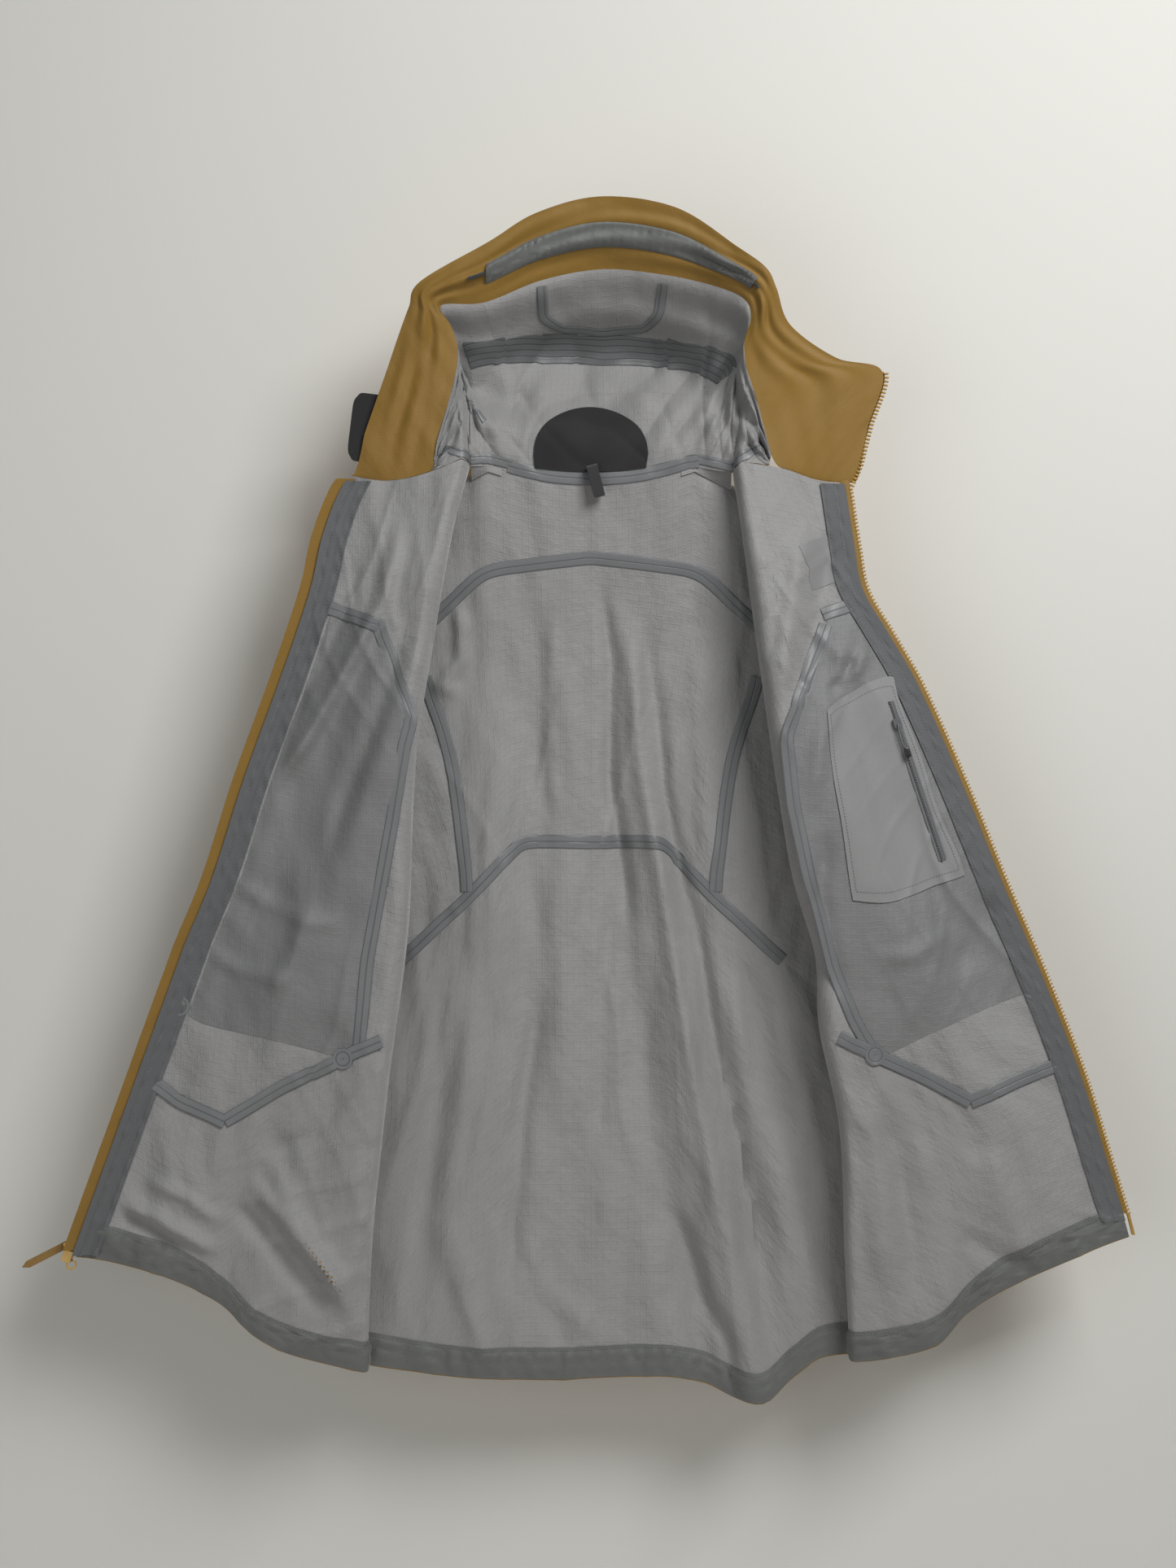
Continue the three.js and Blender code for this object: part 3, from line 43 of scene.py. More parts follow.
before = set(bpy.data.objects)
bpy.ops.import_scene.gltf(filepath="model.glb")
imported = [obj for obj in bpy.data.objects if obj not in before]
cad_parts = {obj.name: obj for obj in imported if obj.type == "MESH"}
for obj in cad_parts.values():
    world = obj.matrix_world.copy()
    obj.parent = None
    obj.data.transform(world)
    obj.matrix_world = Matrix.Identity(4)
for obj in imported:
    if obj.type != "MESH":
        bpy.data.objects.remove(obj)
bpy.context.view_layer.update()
MM = 0.001


# ---------------------------------------------------------------- sizes and colours
def length(label, default, low, high, about):
    return FloatProperty(name=label, description=about, default=default, min=low, max=high)


def colour(label, default, about):
    return FloatVectorProperty(name=label, description=about, default=default, size=3,
                               min=0.0, max=1.0, subtype="COLOR")


class JacketSizes(bpy.types.PropertyGroup):
    """Sizes in millimetres of the cloth, tapes and trims."""
    cloth: length("Cloth", 0.8, 0.3, 2, "Thickness of the shell cloth")
    tape: length("Tape", 0.35, 0.1, 1, "Thickness of a seam tape")
    tape_width: length("Tape width", 11, 6, 20, "Width of a seam tape")
    facing_width: length("Hem facing", 26, 10, 40, "Width of the doubled hem")
    tooth_pitch: length("Tooth pitch", 3.1, 2, 6, "Distance between two zip teeth")
    cord: length("Cord", 2.8, 1, 5, "Diameter of the brim cord")
    fold_depth: length("Folds", 1.7, 0, 3, "How deep the small folds are")


class JacketColours(bpy.types.PropertyGroup):
    """Base colours, linear."""
    inside: colour("Inside", (0.236, 0.233, 0.230), "Knit backer of the laminate")
    outside: colour("Outside", (0.205, 0.114, 0.017), "Face of the laminate")
    pocket: colour("Pocket cloth", (0.198, 0.198, 0.197), "Inner pocket")
    bag: colour("Pocket bag", (0.156, 0.157, 0.156), "Hand pocket bag")
    tape: colour("Tape", (0.130, 0.134, 0.136), "Seam tape")
    facing: colour("Facing", (0.108, 0.112, 0.106), "Doubled hem and cord tunnel")
    zip_tape: colour("Zip tape", (0.096, 0.098, 0.101), "Woven zip tape")
    teeth: colour("Teeth", (0.33, 0.19, 0.035), "Moulded teeth")
    black: colour("Black", (0.011, 0.011, 0.012), "Webbing, knit and cord")


class JacketDetail(bpy.types.PropertyGroup):
    """How fine the cloth's grid is."""
    columns: IntProperty(name="Columns", description="Grid columns across one front",
                         default=64, min=16, max=160)
    rows: IntProperty(name="Rows", description="Grid rows from the yoke to the waist seam",
                      default=64, min=16, max=160)


def sizes():
    return bpy.context.scene.jacket_sizes


def colours():
    return bpy.context.scene.jacket_colours


# ---------------------------------------------------------------- numbers
def clamp(v, low, high):
    return np.clip(v, low, high)


def lerp(a, b, k):
    """a plus k times the way from a to b."""
    return a + (b - a) * k


def ease(a, b, v):
    """0 below a, 1 above b, and 3k^2 - 2k^3 between."""
    k = clamp((np.asarray(v, float) - a) / (b - a), 0, 1)
    return k * k * (3 - 2 * k)


def bell(v, width):
    """1 at v = 0, falling as e to the minus square of v over width."""
    return np.exp(-((v / width) ** 2))


def unit(vectors):
    """Vectors along the last axis, scaled to length one."""
    return vectors / np.linalg.norm(vectors, axis=-1, keepdims=True)


def tangents(path):
    return unit(np.gradient(path, axis=0))


def walked(path):
    """The distance along a path to each of its points."""
    return np.concatenate([[0], np.cumsum(np.linalg.norm(np.diff(path, axis=0), axis=1))])


def cell(i, j):
    """The four corners of a grid's cell, in order round it."""
    return (i, j), (i + 1, j), (i + 1, j + 1), (i, j + 1)


def curve(points):
    """A smooth curve through (place, value) points: cubic between them, with the slope of the
    neighbours at each, and straight on past its ends."""
    p = np.array(points, float)
    x, y = p[:, 0], p[:, 1]
    last = len(x) - 1
    before, after = np.maximum(np.arange(last + 1) - 1, 0), np.minimum(np.arange(last + 1) + 1, last)
    m = (y[after] - y[before]) / (x[after] - x[before])

    def at(v):
        v = np.asarray(v, float)
        i = clamp(np.searchsorted(x, v, side="right") - 1, 0, last - 1)
        h = x[i + 1] - x[i]
        k = clamp((v - x[i]) / h, 0, 1)
        inside = ((2 * k**3 - 3 * k**2 + 1) * y[i] + (k**3 - 2 * k**2 + k) * h * m[i]
                  + (3 * k**2 - 2 * k**3) * y[i + 1] + (k**3 - k**2) * h * m[i + 1])
        return inside + np.minimum(v - x[0], 0) * m[0] + np.maximum(v - x[-1], 0) * m[-1]
    return at


def fold(x, z, line, rise, width):
    """Height of a soft fold: rise times a bell of the distance from a line of (x, z) points,
    eased to nothing at the line's two ends."""
    p = np.array(line, float)
    start, run = p[:-1], p[1:] - p[:-1]
    size = np.hypot(run[:, 0], run[:, 1])
    done = np.concatenate([[0], np.cumsum(size)])
    best, along = np.full(np.shape(x), 1e9), np.zeros(np.shape(x))
    for i in range(len(size)):
        t = clamp(((x - start[i, 0]) * run[i, 0] + (z - start[i, 1]) * run[i, 1]) / size[i] ** 2, 0, 1)
        far = np.hypot(x - start[i, 0] - t * run[i, 0], z - start[i, 1] - t * run[i, 1])
        along = np.where(far < best, done[i] + t * size[i], along)
        best = np.minimum(far, best)
    k = along / done[-1]
    fade = 0.22
    return rise * bell(best, width) * ease(0, fade, k) * ease(0, fade, 1 - k)


# ---------------------------------------------------------------- outlines of the drape
upper_right_edge = curve([(-9, 197), (10, 213), (50, 229), (90, 238), (131, 251), (171, 265),
                          (251, 294), (332, 320), (385, 342)])


def right_edge(drop):
    return np.where(drop < 385, upper_right_edge(drop), 342 + 0.362 * (drop - 385))


class Half:
    """One half of the body, with its outlines as curves of the drop below the neck seam."""

    def __init__(self, **given):
        self.__dict__.update(given)


RIGHT = Half(
    sign=-1, inset=12, edge=right_edge,
    ridge=curve([(-17, 98), (54, 115), (154, 132), (219, 142), (276, 146), (373, 150), (504, 167),
                 (639, 181), (745, 185)]),
    turn=curve([(-20, 205), (230, 205), (380, 222), (520, 208), (650, 197), (745, 193)]),
    neck=curve([(98, -13), (132, 0), (165, 6), (200, 1)]),
    chest=curve([(150, 133), (170, 127), (222, 108), (250, 106)]),
    waist=curve([(160, 458), (210, 481), (251, 501), (299, 530), (337, 515), (385, 487)]),
)
LEFT = Half(
    sign=1, inset=7.4,
    edge=curve([(8, 214), (60, 222), (95, 229), (131, 250), (171, 273), (251, 309), (332, 342),
                (412, 376), (492, 407), (573, 432), (628, 449)]),
    ridge=curve([(-10, 115), (64, 125), (163, 138), (271, 154), (333, 165), (395, 183), (452, 186),
                 (535, 203), (640, 208), (745, 214)]),
    turn=curve([(-20, 205), (230, 205), (380, 228), (452, 230), (520, 227), (650, 219), (745, 222)]),
    neck=curve([(115, -8), (157, -3), (184, 5), (214, 8)]),
    chest=curve([(150, 118), (209, 109), (229, 102), (260, 98)]),
    waist=curve([(188, 454), (230, 474), (272, 494), (309, 514), (345, 498), (405, 476)]),
)
HALVES = (("right", RIGHT), ("left", LEFT))
hem_line = curve([(-434, 640), (-397, 645), (-350, 657), (-303, 681), (-275, 706), (-232, 725),
                  (-162, 740), (-45, 748), (60, 746), (92, 751), (119, 763), (143, 765), (166, 748),
                  (190, 731), (236, 725), (283, 712), (307, 688), (354, 661), (401, 639), (449, 622)])
yoke_line = curve([(0, 66), (60, 73), (84, 77), (97, 84), (128, 113), (187, 165)])
waist_line = curve([(0, 303), (56, 303), (66, 310), (103, 349), (126, 370), (157, 399), (190, 424),
                    (230, 440)])
princess_line = curve([(0, 152), (100, 150), (175, 136), (211, 124), (243, 116), (301, 108),
                       (347, 104), (745, 122)])
ridge_depth = curve([(-17, -24), (100, -34), (400, -34), (600, -20), (745, -6)])
middle_flat = curve([(-17, 0), (100, 4), (400, 4), (600, 6), (745, 7)])
back_flat = curve([(-10, 0), (60, 14), (150, 28), (400, 32), (600, 26), (745, 17)])
ridge_radius = curve([(-17, 6), (100, 11), (400, 12), (600, 8), (745, 4)])
SHOULDER_DEPTH, SHOULDER_STEP, SHOULDER_ROUND, NECK_HALF = 14, 1.2, 35, 84
ZIP_DEPTH, SIDE_RADIUS = -6, 18
ARMHOLE_DROP = 230                    # the foot of the armhole slot
RIDGE_CHEST, SIDE_YOKE = 140, 165     # drops of the upper seams at the ridge and at the side
RIDGE_WAIST, SIDE_WAIST = 452, 440    # drops of the waist seam there
SETTLING_ROUNDS = 24
SEAM_TOP, SEAM_FOOT = 14, 620         # drops between which a front edge lies on its panel

LONG_FOLDS = [  # line as (drop, x), rise toward the back, width
    (curve([(96, 27), (251, 42), (425, 72), (597, 103), (745, 138)]), -11, 24),
    (curve([(96, 6), (247, 14), (397, 32), (600, 60), (745, 104)]), 7, 17),
    (curve([(96, 44), (251, 62), (397, 93), (597, 132), (745, 160)]), 5, 15),
    (curve([(96, -70), (400, -72), (745, -98)]), -6, 34),
]
BACK_FOLDS = [  # line as (x, z), rise toward the back, width
    ([(6, -58), (8, -96), (17, -152), (15, -247), (25, -310), (34, -397)], 4.2, 7),
    ([(27, -96), (35, -171), (42, -251), (60, -338), (72, -425), (89, -513), (103, -597),
      (127, -681)], -4.0, 7.5),
    ([(38, -88), (46, -133), (54, -190), (60, -251), (74, -327), (92, -397), (103, -469),
      (121, -542), (130, -597), (141, -681), (150, -760)], 4.4, 7),
    ([(60, -600), (76, -625), (93, -681), (113, -716), (120, -760)], 3.8, 7),
    ([(103, -379), (119, -452), (146, -546), (173, -653), (183, -714)], -4, 15),
    ([(120, -379), (140, -452), (166, -546), (192, -653), (203, -720)], 3.4, 12),
    ([(89, -117), (90, -198), (96, -278), (109, -358)], -2.6, 13),
    ([(-85, -90), (-88, -178), (-85, -278), (-95, -399), (-112, -546), (-125, -680)], -3.4, 17),
    ([(-45, -90), (-42, -184), (-45, -278), (-52, -412), (-58, -580)], 2.6, 18),
    ([(-20, -80), (-18, -170), (-22, -280), (-24, -400), (-20, -600)], -2.0, 14),
    ([(-117, -101), (-109, -121), (-109, -150), (-125, -172), (-103, -180)], -3, 7),
    ([(-60, -620), (-40, -670), (-10, -700), (30, -720)], -1.6, 9),
    ([(-43, -415), (-59, -549), (-70, -690)], 3.2, 8),
    ([(-110, -440), (-135, -576), (-151, -684)], 3.0, 9),
    ([(-30, -110), (-36, -200), (-30, -290)], -1.8, 7),
    ([(20, -330), (8, -440), (6, -560)], 2.4, 9),
    ([(-130, -600), (-110, -650), (-95, -700), (-88, -745)], -2.2, 11),
]
RIGHT_FOLDS = [
    ([(-155, -28), (-160, -66), (-168, -101), (-184, -131), (-208, -176), (-229, -213),
      (-267, -266)], -4.2, 7),
    ([(-139, -77), (-152, -137), (-172, -198), (-199, -265), (-219, -332)], 3.4, 9),
    ([(-188, -60), (-200, -110), (-222, -160), (-250, -210)], 2.4, 8),
    ([(-283, -573), (-253, -606), (-219, -647), (-192, -680)], -4.4, 7),
    ([(-300, -590), (-272, -622), (-240, -660), (-215, -692)], 3.2, 7),
    ([(-387, -596), (-360, -606), (-330, -623), (-303, -640)], -4.0, 6),
    ([(-392, -606), (-362, -620), (-332, -638)], 3.0, 6),
    ([(-370, -575), (-330, -592), (-300, -615)], -2.4, 6),
    ([(-266, -546), (-246, -600), (-212, -653), (-189, -707)], -3.4, 7),
    ([(-172, -520), (-182, -640), (-186, -707)], 3.4, 7),
    ([(-230, -350), (-240, -390), (-262, -430)], -2.2, 9),
    ([(-300, -330), (-262, -352), (-226, -366), (-196, -368)], -1.8, 7),
    ([(-318, -392), (-280, -408), (-240, -414)], -1.8, 6),
    ([(-195, -500), (-225, -540), (-268, -560)], 2.2, 9),
    ([(-420, -600), (-402, -616), (-386, -640)], -2.4, 6),
]
LEFT_FOLDS = [
    ([(173, -37), (166, -90), (156, -144), (149, -198)], -3.6, 9),
    ([(196, -40), (190, -90), (178, -140), (166, -190)], 3.0, 9),
    ([(210, -117), (196, -178), (183, -231), (176, -285)], -2.6, 9),
    ([(214, -150), (205, -168), (190, -182)], 3.0, 5),
    ([(226, -140), (216, -160), (198, -174)], -2.8, 5),
    ([(190, -285), (186, -345), (196, -399), (206, -439)], 3.0, 8),
    ([(216, -492), (230, -546), (237, -600), (240, -667)], -3.6, 11),
    ([(236, -500), (252, -560), (260, -620), (264, -690)], 3.2, 10),
    ([(263, -533), (283, -593), (293, -653), (297, -700)], -3.0, 11),
    ([(317, -546), (340, -600), (357, -653)], -2.8, 12),
    ([(296, -372), (262, -392), (230, -398)], -1.8, 7),
    ([(330, -340), (316, -380), (300, -410)], 2.0, 9),
    ([(300, -620), (330, -640), (362, -650)], 1.8, 8),
]


def ripple(x, z, seed):
    """A slow unevenness of the cloth, within a millimetre: three crossed sine waves."""
    return (0.55 * np.sin(x / 31 + z / 57 + seed) + 0.4 * np.sin(x / 19 - z / 44 + 2.1 * seed)
            + 0.22 * np.sin(x / 11 + z / 23 + 3.3 * seed))


def creases(x, z, angle, spacing, seed):
    """Sharp-topped creases that run at an angle, bend slowly and fade in and out: one less the
    size of a sine, cubed, times a slow mask."""
    c, s = math.cos(angle), math.sin(angle)
    walk = x * c + z * s + 14 * np.sin((z * c - x * s) / 61 + seed) + 6 * np.sin(z / 29 + 2 * seed)
    mask = clamp(np.sin(x / 53 + 1.7 * seed) * np.sin(z / 71 - seed) + 0.25, 0, 1)
    return (1 - np.abs(np.sin(walk / spacing))) ** 3 * mask


def shoulder(out):
    """Drop of the top edge at a distance out: a parabola beside the neck, then a straight slope."""
    return np.where(out < 85, 6 - 11 * (out / 75) ** 2, -8 + 0.46 * (out - 85))


def arch(out, drop):
    """How far a layer has rounded over from the shoulder seam: a quarter circle."""
    k = clamp((drop - shoulder(out)) / SHOULDER_ROUND, 0, 1)
    return np.sqrt(1 - (1 - k) ** 2)


def middle_y(out, drop):
    """Depth of the middle layer: its flat depth, rounded over at the shoulder."""
    return lerp(SHOULDER_DEPTH - SHOULDER_STEP, middle_flat(drop), arch(out, drop))


def small_folds(x, z, folds, seed):
    """All drawn folds and the slow unevenness added, times the fold depth."""
    total = sum(fold(x, z, *f) for f in folds) + ripple(x, z, seed)
    return total * sizes().fold_depth


def back_y(x, z):
    """Depth of the back layer: its flat depth with the long folds, rounded over at the shoulder
    away from the neck, and the small folds fading in below the shoulder."""
    drop, out = -z, np.abs(x)
    long_folds = sum(rise * ease(60, 620, drop) * bell(x - line(drop), width)
                     for line, rise, width in LONG_FOLDS)
    flat = back_flat(drop) + long_folds
    rounded = lerp(SHOULDER_DEPTH + SHOULDER_STEP, flat, arch(out, drop))
    y = lerp(flat, rounded, ease(84, 110, out))
    fine = small_folds(x, z, BACK_FOLDS, 1)
    fine = fine - sizes().fold_depth * (1.5 * creases(x, z, -0.18, 21, 1)
                                        + 1.1 * creases(x, z, 0.35, 15, 4) * ease(120, 400, drop))
    return y + fine * ease(25, 90, drop)


def front_share(half, out, drop):
    """How far a place on the front layer lies from the zip edge (0) to the ridge (1)."""
    edge = half.edge(drop) - half.inset
    return (edge - out) / (edge - half.ridge(drop) - ridge_radius(drop))


def front_y(half, x, z):
    """Depth of a front layer: eased from the zip edge to the ridge, with waves and small folds."""
    drop, out = -z, half.sign * x
    k = clamp(front_share(half, out, drop), -0.1, 1)
    waves = 4 * np.sin(9 * k + drop / 70) * ease(60, 200, drop) * k * (1 - k) * 3
    folds = RIGHT_FOLDS if half is RIGHT else LEFT_FOLDS
    slant = half.sign * 0.55
    fine = small_folds(x, z, folds, 2 + half.sign) - sizes().fold_depth * (
        1.5 * creases(x, z, slant, 14, 2 + half.sign) + 1.7 * creases(x, z, 1.1 * half.sign, 12, 5)
        * ease(440, 560, drop) + 1.0 * creases(x, z, -slant, 10, 3))
    fine = fine * ease(-10, 40, drop)
    return lerp(ZIP_DEPTH, ridge_depth(drop), ease(0, 1.15, k)) + waves + fine * ease(0, 0.12, k)


# ---------------------------------------------------------------- the draped grid
def across(half, kind, k, drop):
    """Distance out and depth of a column at a drop. The front runs from the zip edge in to the
    ridge, turns a half circle into the middle layer, goes out to the side, turns a half circle
    into the back layer and runs in to the centre."""
    ridge, radius, sign = half.ridge(drop), ridge_radius(drop), half.sign
    turn = np.maximum(half.turn(drop) - SIDE_RADIUS, ridge + radius + 2)
    if kind == "front":
        out = lerp(half.edge(drop) - half.inset, ridge + radius, k)
        return out, front_y(half, sign * out, -drop)
    if kind == "ridge":
        out = ridge + radius * (1 - np.sin(np.pi * k))
        near = front_y(half, sign * (ridge + radius), -drop)
        return out, lerp(near, middle_y(ridge + radius, drop), (1 - np.cos(np.pi * k)) / 2)
    if kind == "middle":
        out = lerp(ridge + radius, turn, k)
        return out, middle_y(out, drop)
    if kind == "turn":
        back = back_y(sign * turn, -drop)
        return (turn + SIDE_RADIUS * np.sin(np.pi * k),
                lerp(middle_y(turn, drop), back, (1 - np.cos(np.pi * k)) / 2))
    inner = np.minimum(princess_line(drop), turn - 14)
    out = lerp(turn, inner, k) if kind == "flank" else lerp(inner, 0, k)
    return out, back_y(sign * out, -drop)


def row_drops(half, kind, k, out):
    """Drops of the top edge, the yoke or chest seam, the waist seam and the hem at a column."""
    hem = hem_line(half.sign * out)
    if kind in ("front", "ridge"):
        top, chest, waist = half.neck(out), half.chest(out), half.waist(out)
        if kind == "ridge":
            top = lerp(top, shoulder(out), k)
            chest, waist = lerp(chest, RIDGE_CHEST, k), lerp(waist, RIDGE_WAIST, k)
        return top, chest, waist, hem
    if kind == "middle":
        return (shoulder(out), lerp(RIDGE_CHEST, SIDE_YOKE, k),
                lerp(RIDGE_WAIST, SIDE_WAIST, k), hem)
    if kind == "turn":
        dip = np.sin(np.pi * k)
        return (lerp(shoulder(out), ARMHOLE_DROP - 8, dip), lerp(SIDE_YOKE, ARMHOLE_DROP, dip),
                lerp(SIDE_WAIST, 424, k), hem)
    return shoulder(out), yoke_line(out), waist_line(out), hem


def drape(half, kind, k, row):
    """Points of the drape. Drop and distance out depend on each other, so they settle by turns."""
    k, row = np.meshgrid(np.asarray(k, float), np.asarray(row, float), indexing="ij")
    out, drop, depth = np.full(k.shape, 150.0), np.full(k.shape, 300.0), None
    section = clamp(np.floor(row), 0, 2).astype(int)
    for _ in range(SETTLING_ROUNDS):
        lines = np.stack([np.broadcast_to(v, k.shape) for v in row_drops(half, kind, k, out)])
        above = np.take_along_axis(lines, section[None], 0)[0]
        below = np.take_along_axis(lines, section[None] + 1, 0)[0]
        drop = lerp(drop, lerp(above, below, row - section), 0.7)
        found, depth = across(half, kind, k, drop)
        out = lerp(out, found, 0.8)
    return np.stack([half.sign * out, depth, -drop], -1)


class Body:
    """The fine drape of both halves, with the numbers of its seam columns and rows."""

    def __init__(self, columns, rows):
        runs = [("front", np.concatenate([np.linspace(0, 0.9, columns), np.linspace(0.9, 1, 8)[1:]])),
                ("ridge", np.linspace(0, 1, 13)[1:]), ("middle", np.linspace(0, 1, 11)[1:]),
                ("turn", np.linspace(0, 1, 13)[1:]), ("flank", np.linspace(0, 1, 17)[1:]),
                ("back", np.linspace(0, 1, columns)[1:])]
        self.row = np.concatenate([np.linspace(0, 1, rows // 2), np.linspace(1, 2, rows)[1:],
                                   np.linspace(2, 3, rows)[1:]])
        self.grid = {half: np.concatenate([drape(half, kind, k, self.row) for kind, k in runs])
                     for _, half in HALVES}
        ends = np.cumsum([len(k) for _, k in runs]) - 1
        self.front_seam = columns - 1
        self.front, _, self.middle, self.turn, self.princess, self.centre = ends

    def rows(self, first, last):
        return np.nonzero((self.row >= first - 1e-9) & (self.row <= last + 1e-9))[0]

    def part(self, half, first, last, top, bottom):
        """The grid of one half between two columns and two rows."""
        return self.grid[half][first:last + 1][:, self.rows(top, bottom)]

    def both(self, first, top, bottom):
        """The grid across the centre back, from the right half to the left."""
        right = self.part(RIGHT, first, self.centre, top, bottom)
        left = self.part(LEFT, first, self.centre, top, bottom)
        return np.concatenate([right, left[::-1][1:]])

    def neck_edge(self):
        """The top edge from the right zip edge over the back neck to the left zip edge."""
        def tip(half):
            return self.grid[half][:self.front + 7, 0]

        def back(half):
            line = self.grid[half][self.turn:, 0]
            return line[np.abs(line[:, 0]) < NECK_HALF]
        return np.concatenate([tip(RIGHT), back(RIGHT), back(LEFT)[::-1][1:], tip(LEFT)[::-1]])


# ---------------------------------------------------------------- meshes from grids
def cross_normals(grid, ring=False):
    """Unit normals of a grid: the cross product of its two directions of travel."""
    if ring:
        du = np.roll(grid, -1, 0) - np.roll(grid, 1, 0)
    else:
        du = np.gradient(grid, axis=0)
    n = np.cross(du, np.gradient(grid, axis=1))
    return n / np.maximum(np.linalg.norm(n, axis=-1, keepdims=True), 1e-9)


def arc_uv(grid, ring=False):
    """Distances along both directions of a grid, in metres, for patterns that follow the cloth."""
    full = np.concatenate([grid, grid[:1]]) if ring else grid
    u = np.zeros(full.shape[:2])
    v = np.zeros(full.shape[:2])
    u[1:] = np.cumsum(np.linalg.norm(np.diff(full, axis=0), axis=-1), 0)
    v[:, 1:] = np.cumsum(np.linalg.norm(np.diff(full, axis=1), axis=-1), 1)
    u = u - u[full.shape[0] // 2] + full[full.shape[0] // 2, :, 0]
    return np.stack([u, v], -1) * MM


def make(name, points, quads, uv=None, tris=None, slots=None, materials=(), sharp=50):
    """A mesh object at the origin from points in millimetres and arrays of faces. uv holds two
    numbers for each corner of each face."""
    mesh = bpy.data.meshes.new(name)
    faces = quads.tolist() + ([] if tris is None else tris.tolist())
    mesh.from_pydata((points * MM).tolist(), [], faces)
    if uv is not None:
        layer = mesh.uv_layers.new(name="cloth")
        layer.data.foreach_set("uv", np.asarray(uv, np.float32).ravel())
    for m in materials:
        mesh.materials.append(m)
    if slots is not None:
        mesh.polygons.foreach_set("material_index", np.asarray(slots, np.int32))
    mesh.shade_smooth()
    mesh.set_sharp_from_angle(angle=math.radians(sharp))
    mesh.update()
    piece = bpy.data.objects.new(name, mesh)
    bpy.context.scene.collection.objects.link(piece)
    return piece


def cloth_sheet(name, grid, thick, inside, materials, ring=False):
    """A closed sheet of even thickness about a grid: a layer half the thickness to each side
    along the normals, and a rim. inside is the sign that turns the grid's normals toward the
    inner face, which takes the first material; the outer face and the rim take the last."""
    a, b = grid.shape[:2]
    n = cross_normals(grid, ring) * inside
    points = np.concatenate([(grid + n * thick / 2).reshape(-1, 3),
                             (grid - n * thick / 2).reshape(-1, 3)])
    spans = a if ring else a - 1
    i, j = np.meshgrid(np.arange(spans), np.arange(b - 1), indexing="ij")
    corners = cell(i, j)
    at = lambda p, q: ((p % a) * b + q).ravel()
    inner = np.stack([at(*c) for c in corners], -1)
    uv_grid = arc_uv(grid, ring)
    uv_in = np.stack([uv_grid[c[0].ravel(), c[1].ravel()] for c in corners], 1)
    if inside < 0:
        inner, uv_in = inner[:, ::-1], uv_in[:, ::-1]
    outer, uv_out = inner[:, ::-1] + a * b, uv_in[:, ::-1]
    i1, j1 = np.arange(spans), np.arange(b - 1)
    edges = [(i1 * b, ((i1 + 1) % a) * b), (((i1 + 1) % a) * b + b - 1, i1 * b + b - 1)]
    if not ring:
        edges += [((a - 1) * b + j1, (a - 1) * b + j1 + 1), (j1 + 1, j1)]
    p = np.concatenate([e[0] for e in edges])
    q = np.concatenate([e[1] for e in edges])
    if inside < 0:
        p, q = q, p
    rim = np.stack([q, p, p + a * b, q + a * b], -1)
    flat = uv_grid[:a].reshape(-1, 2)
    uv_rim = np.stack([flat[q], flat[p], flat[p], flat[q]], 1)
    quads = np.concatenate([inner, outer, rim])
    uv = np.concatenate([uv_in, uv_out, uv_rim]).reshape(-1, 2)
    slots = np.concatenate([np.zeros(len(inner)), np.full(len(outer) + len(rim), len(materials) - 1)])
    return make(name, points, quads, uv, slots=slots, materials=materials)


def frames(path):
    """Unit tangents of a path, and two unit vectors square to each: the first lies as near as it
    can to -Y, the second is the cross product."""
    t = tangents(path)
    up = np.array([0, -1.0, 0]) - t * (t @ np.array([0, -1.0, 0]))[:, None]
    up /= np.maximum(np.linalg.norm(up, axis=1, keepdims=True), 1e-9)
    return t, up, np.cross(t, up)


def swept(name, path, profile, materials, scale=None):
    """A closed body: a profile of (side, up) points carried along a path, with flat ends."""
    path, profile = np.asarray(path, float), np.asarray(profile, float)
    _, up, side = frames(path)
    grow = np.ones(len(path)) if scale is None else np.asarray(scale)
    ring = (path[:, None] + side[:, None] * profile[None, :, :1] * grow[:, None, None]
            + up[:, None] * profile[None, :, 1:] * grow[:, None, None])
    n, m = len(path), len(profile)
    i, j = np.meshgrid(np.arange(n - 1), np.arange(m), indexing="ij")
    at = lambda a, b: (a * m + b % m).ravel()
    quads = np.stack([at(*c) for c in cell(i, j)], -1)
    along, about = walked(path), walked(np.vstack([profile, profile[:1]]))
    uv = np.stack([np.stack([about[q.ravel()], along[p.ravel()]], -1) for p, q in cell(i, j)], 1)
    uv = uv.reshape(-1, 2) * MM
    points = np.concatenate([ring.reshape(-1, 3), path[:1], path[-1:]])
    k = np.arange(m)
    first = np.stack([np.full(m, n * m), k, (k + 1) % m], -1)
    last = np.stack([np.full(m, n * m + 1), (n - 1) * m + (k + 1) % m, (n - 1) * m + k], -1)
    tris = np.concatenate([first, last])
    if signed_volume(points, quads, tris) < 0:
        quads, tris = quads[:, ::-1], tris[:, ::-1]
        uv = uv.reshape(-1, 4, 2)[:, ::-1].reshape(-1, 2)
    uv = np.concatenate([uv, np.zeros((len(tris) * 3, 2))])
    return make(name, points, quads, uv, tris=tris, materials=materials)


def signed_volume(points, quads, tris=None):
    """Six times the volume that the faces hold, above nothing when they point out."""
    f = np.concatenate([quads[:, [0, 1, 2]], quads[:, [0, 2, 3]]] + ([] if tris is None else [tris]))
    a, b, c = points[f[:, 0]], points[f[:, 1]], points[f[:, 2]]
    return float((a * np.cross(b, c)).sum())


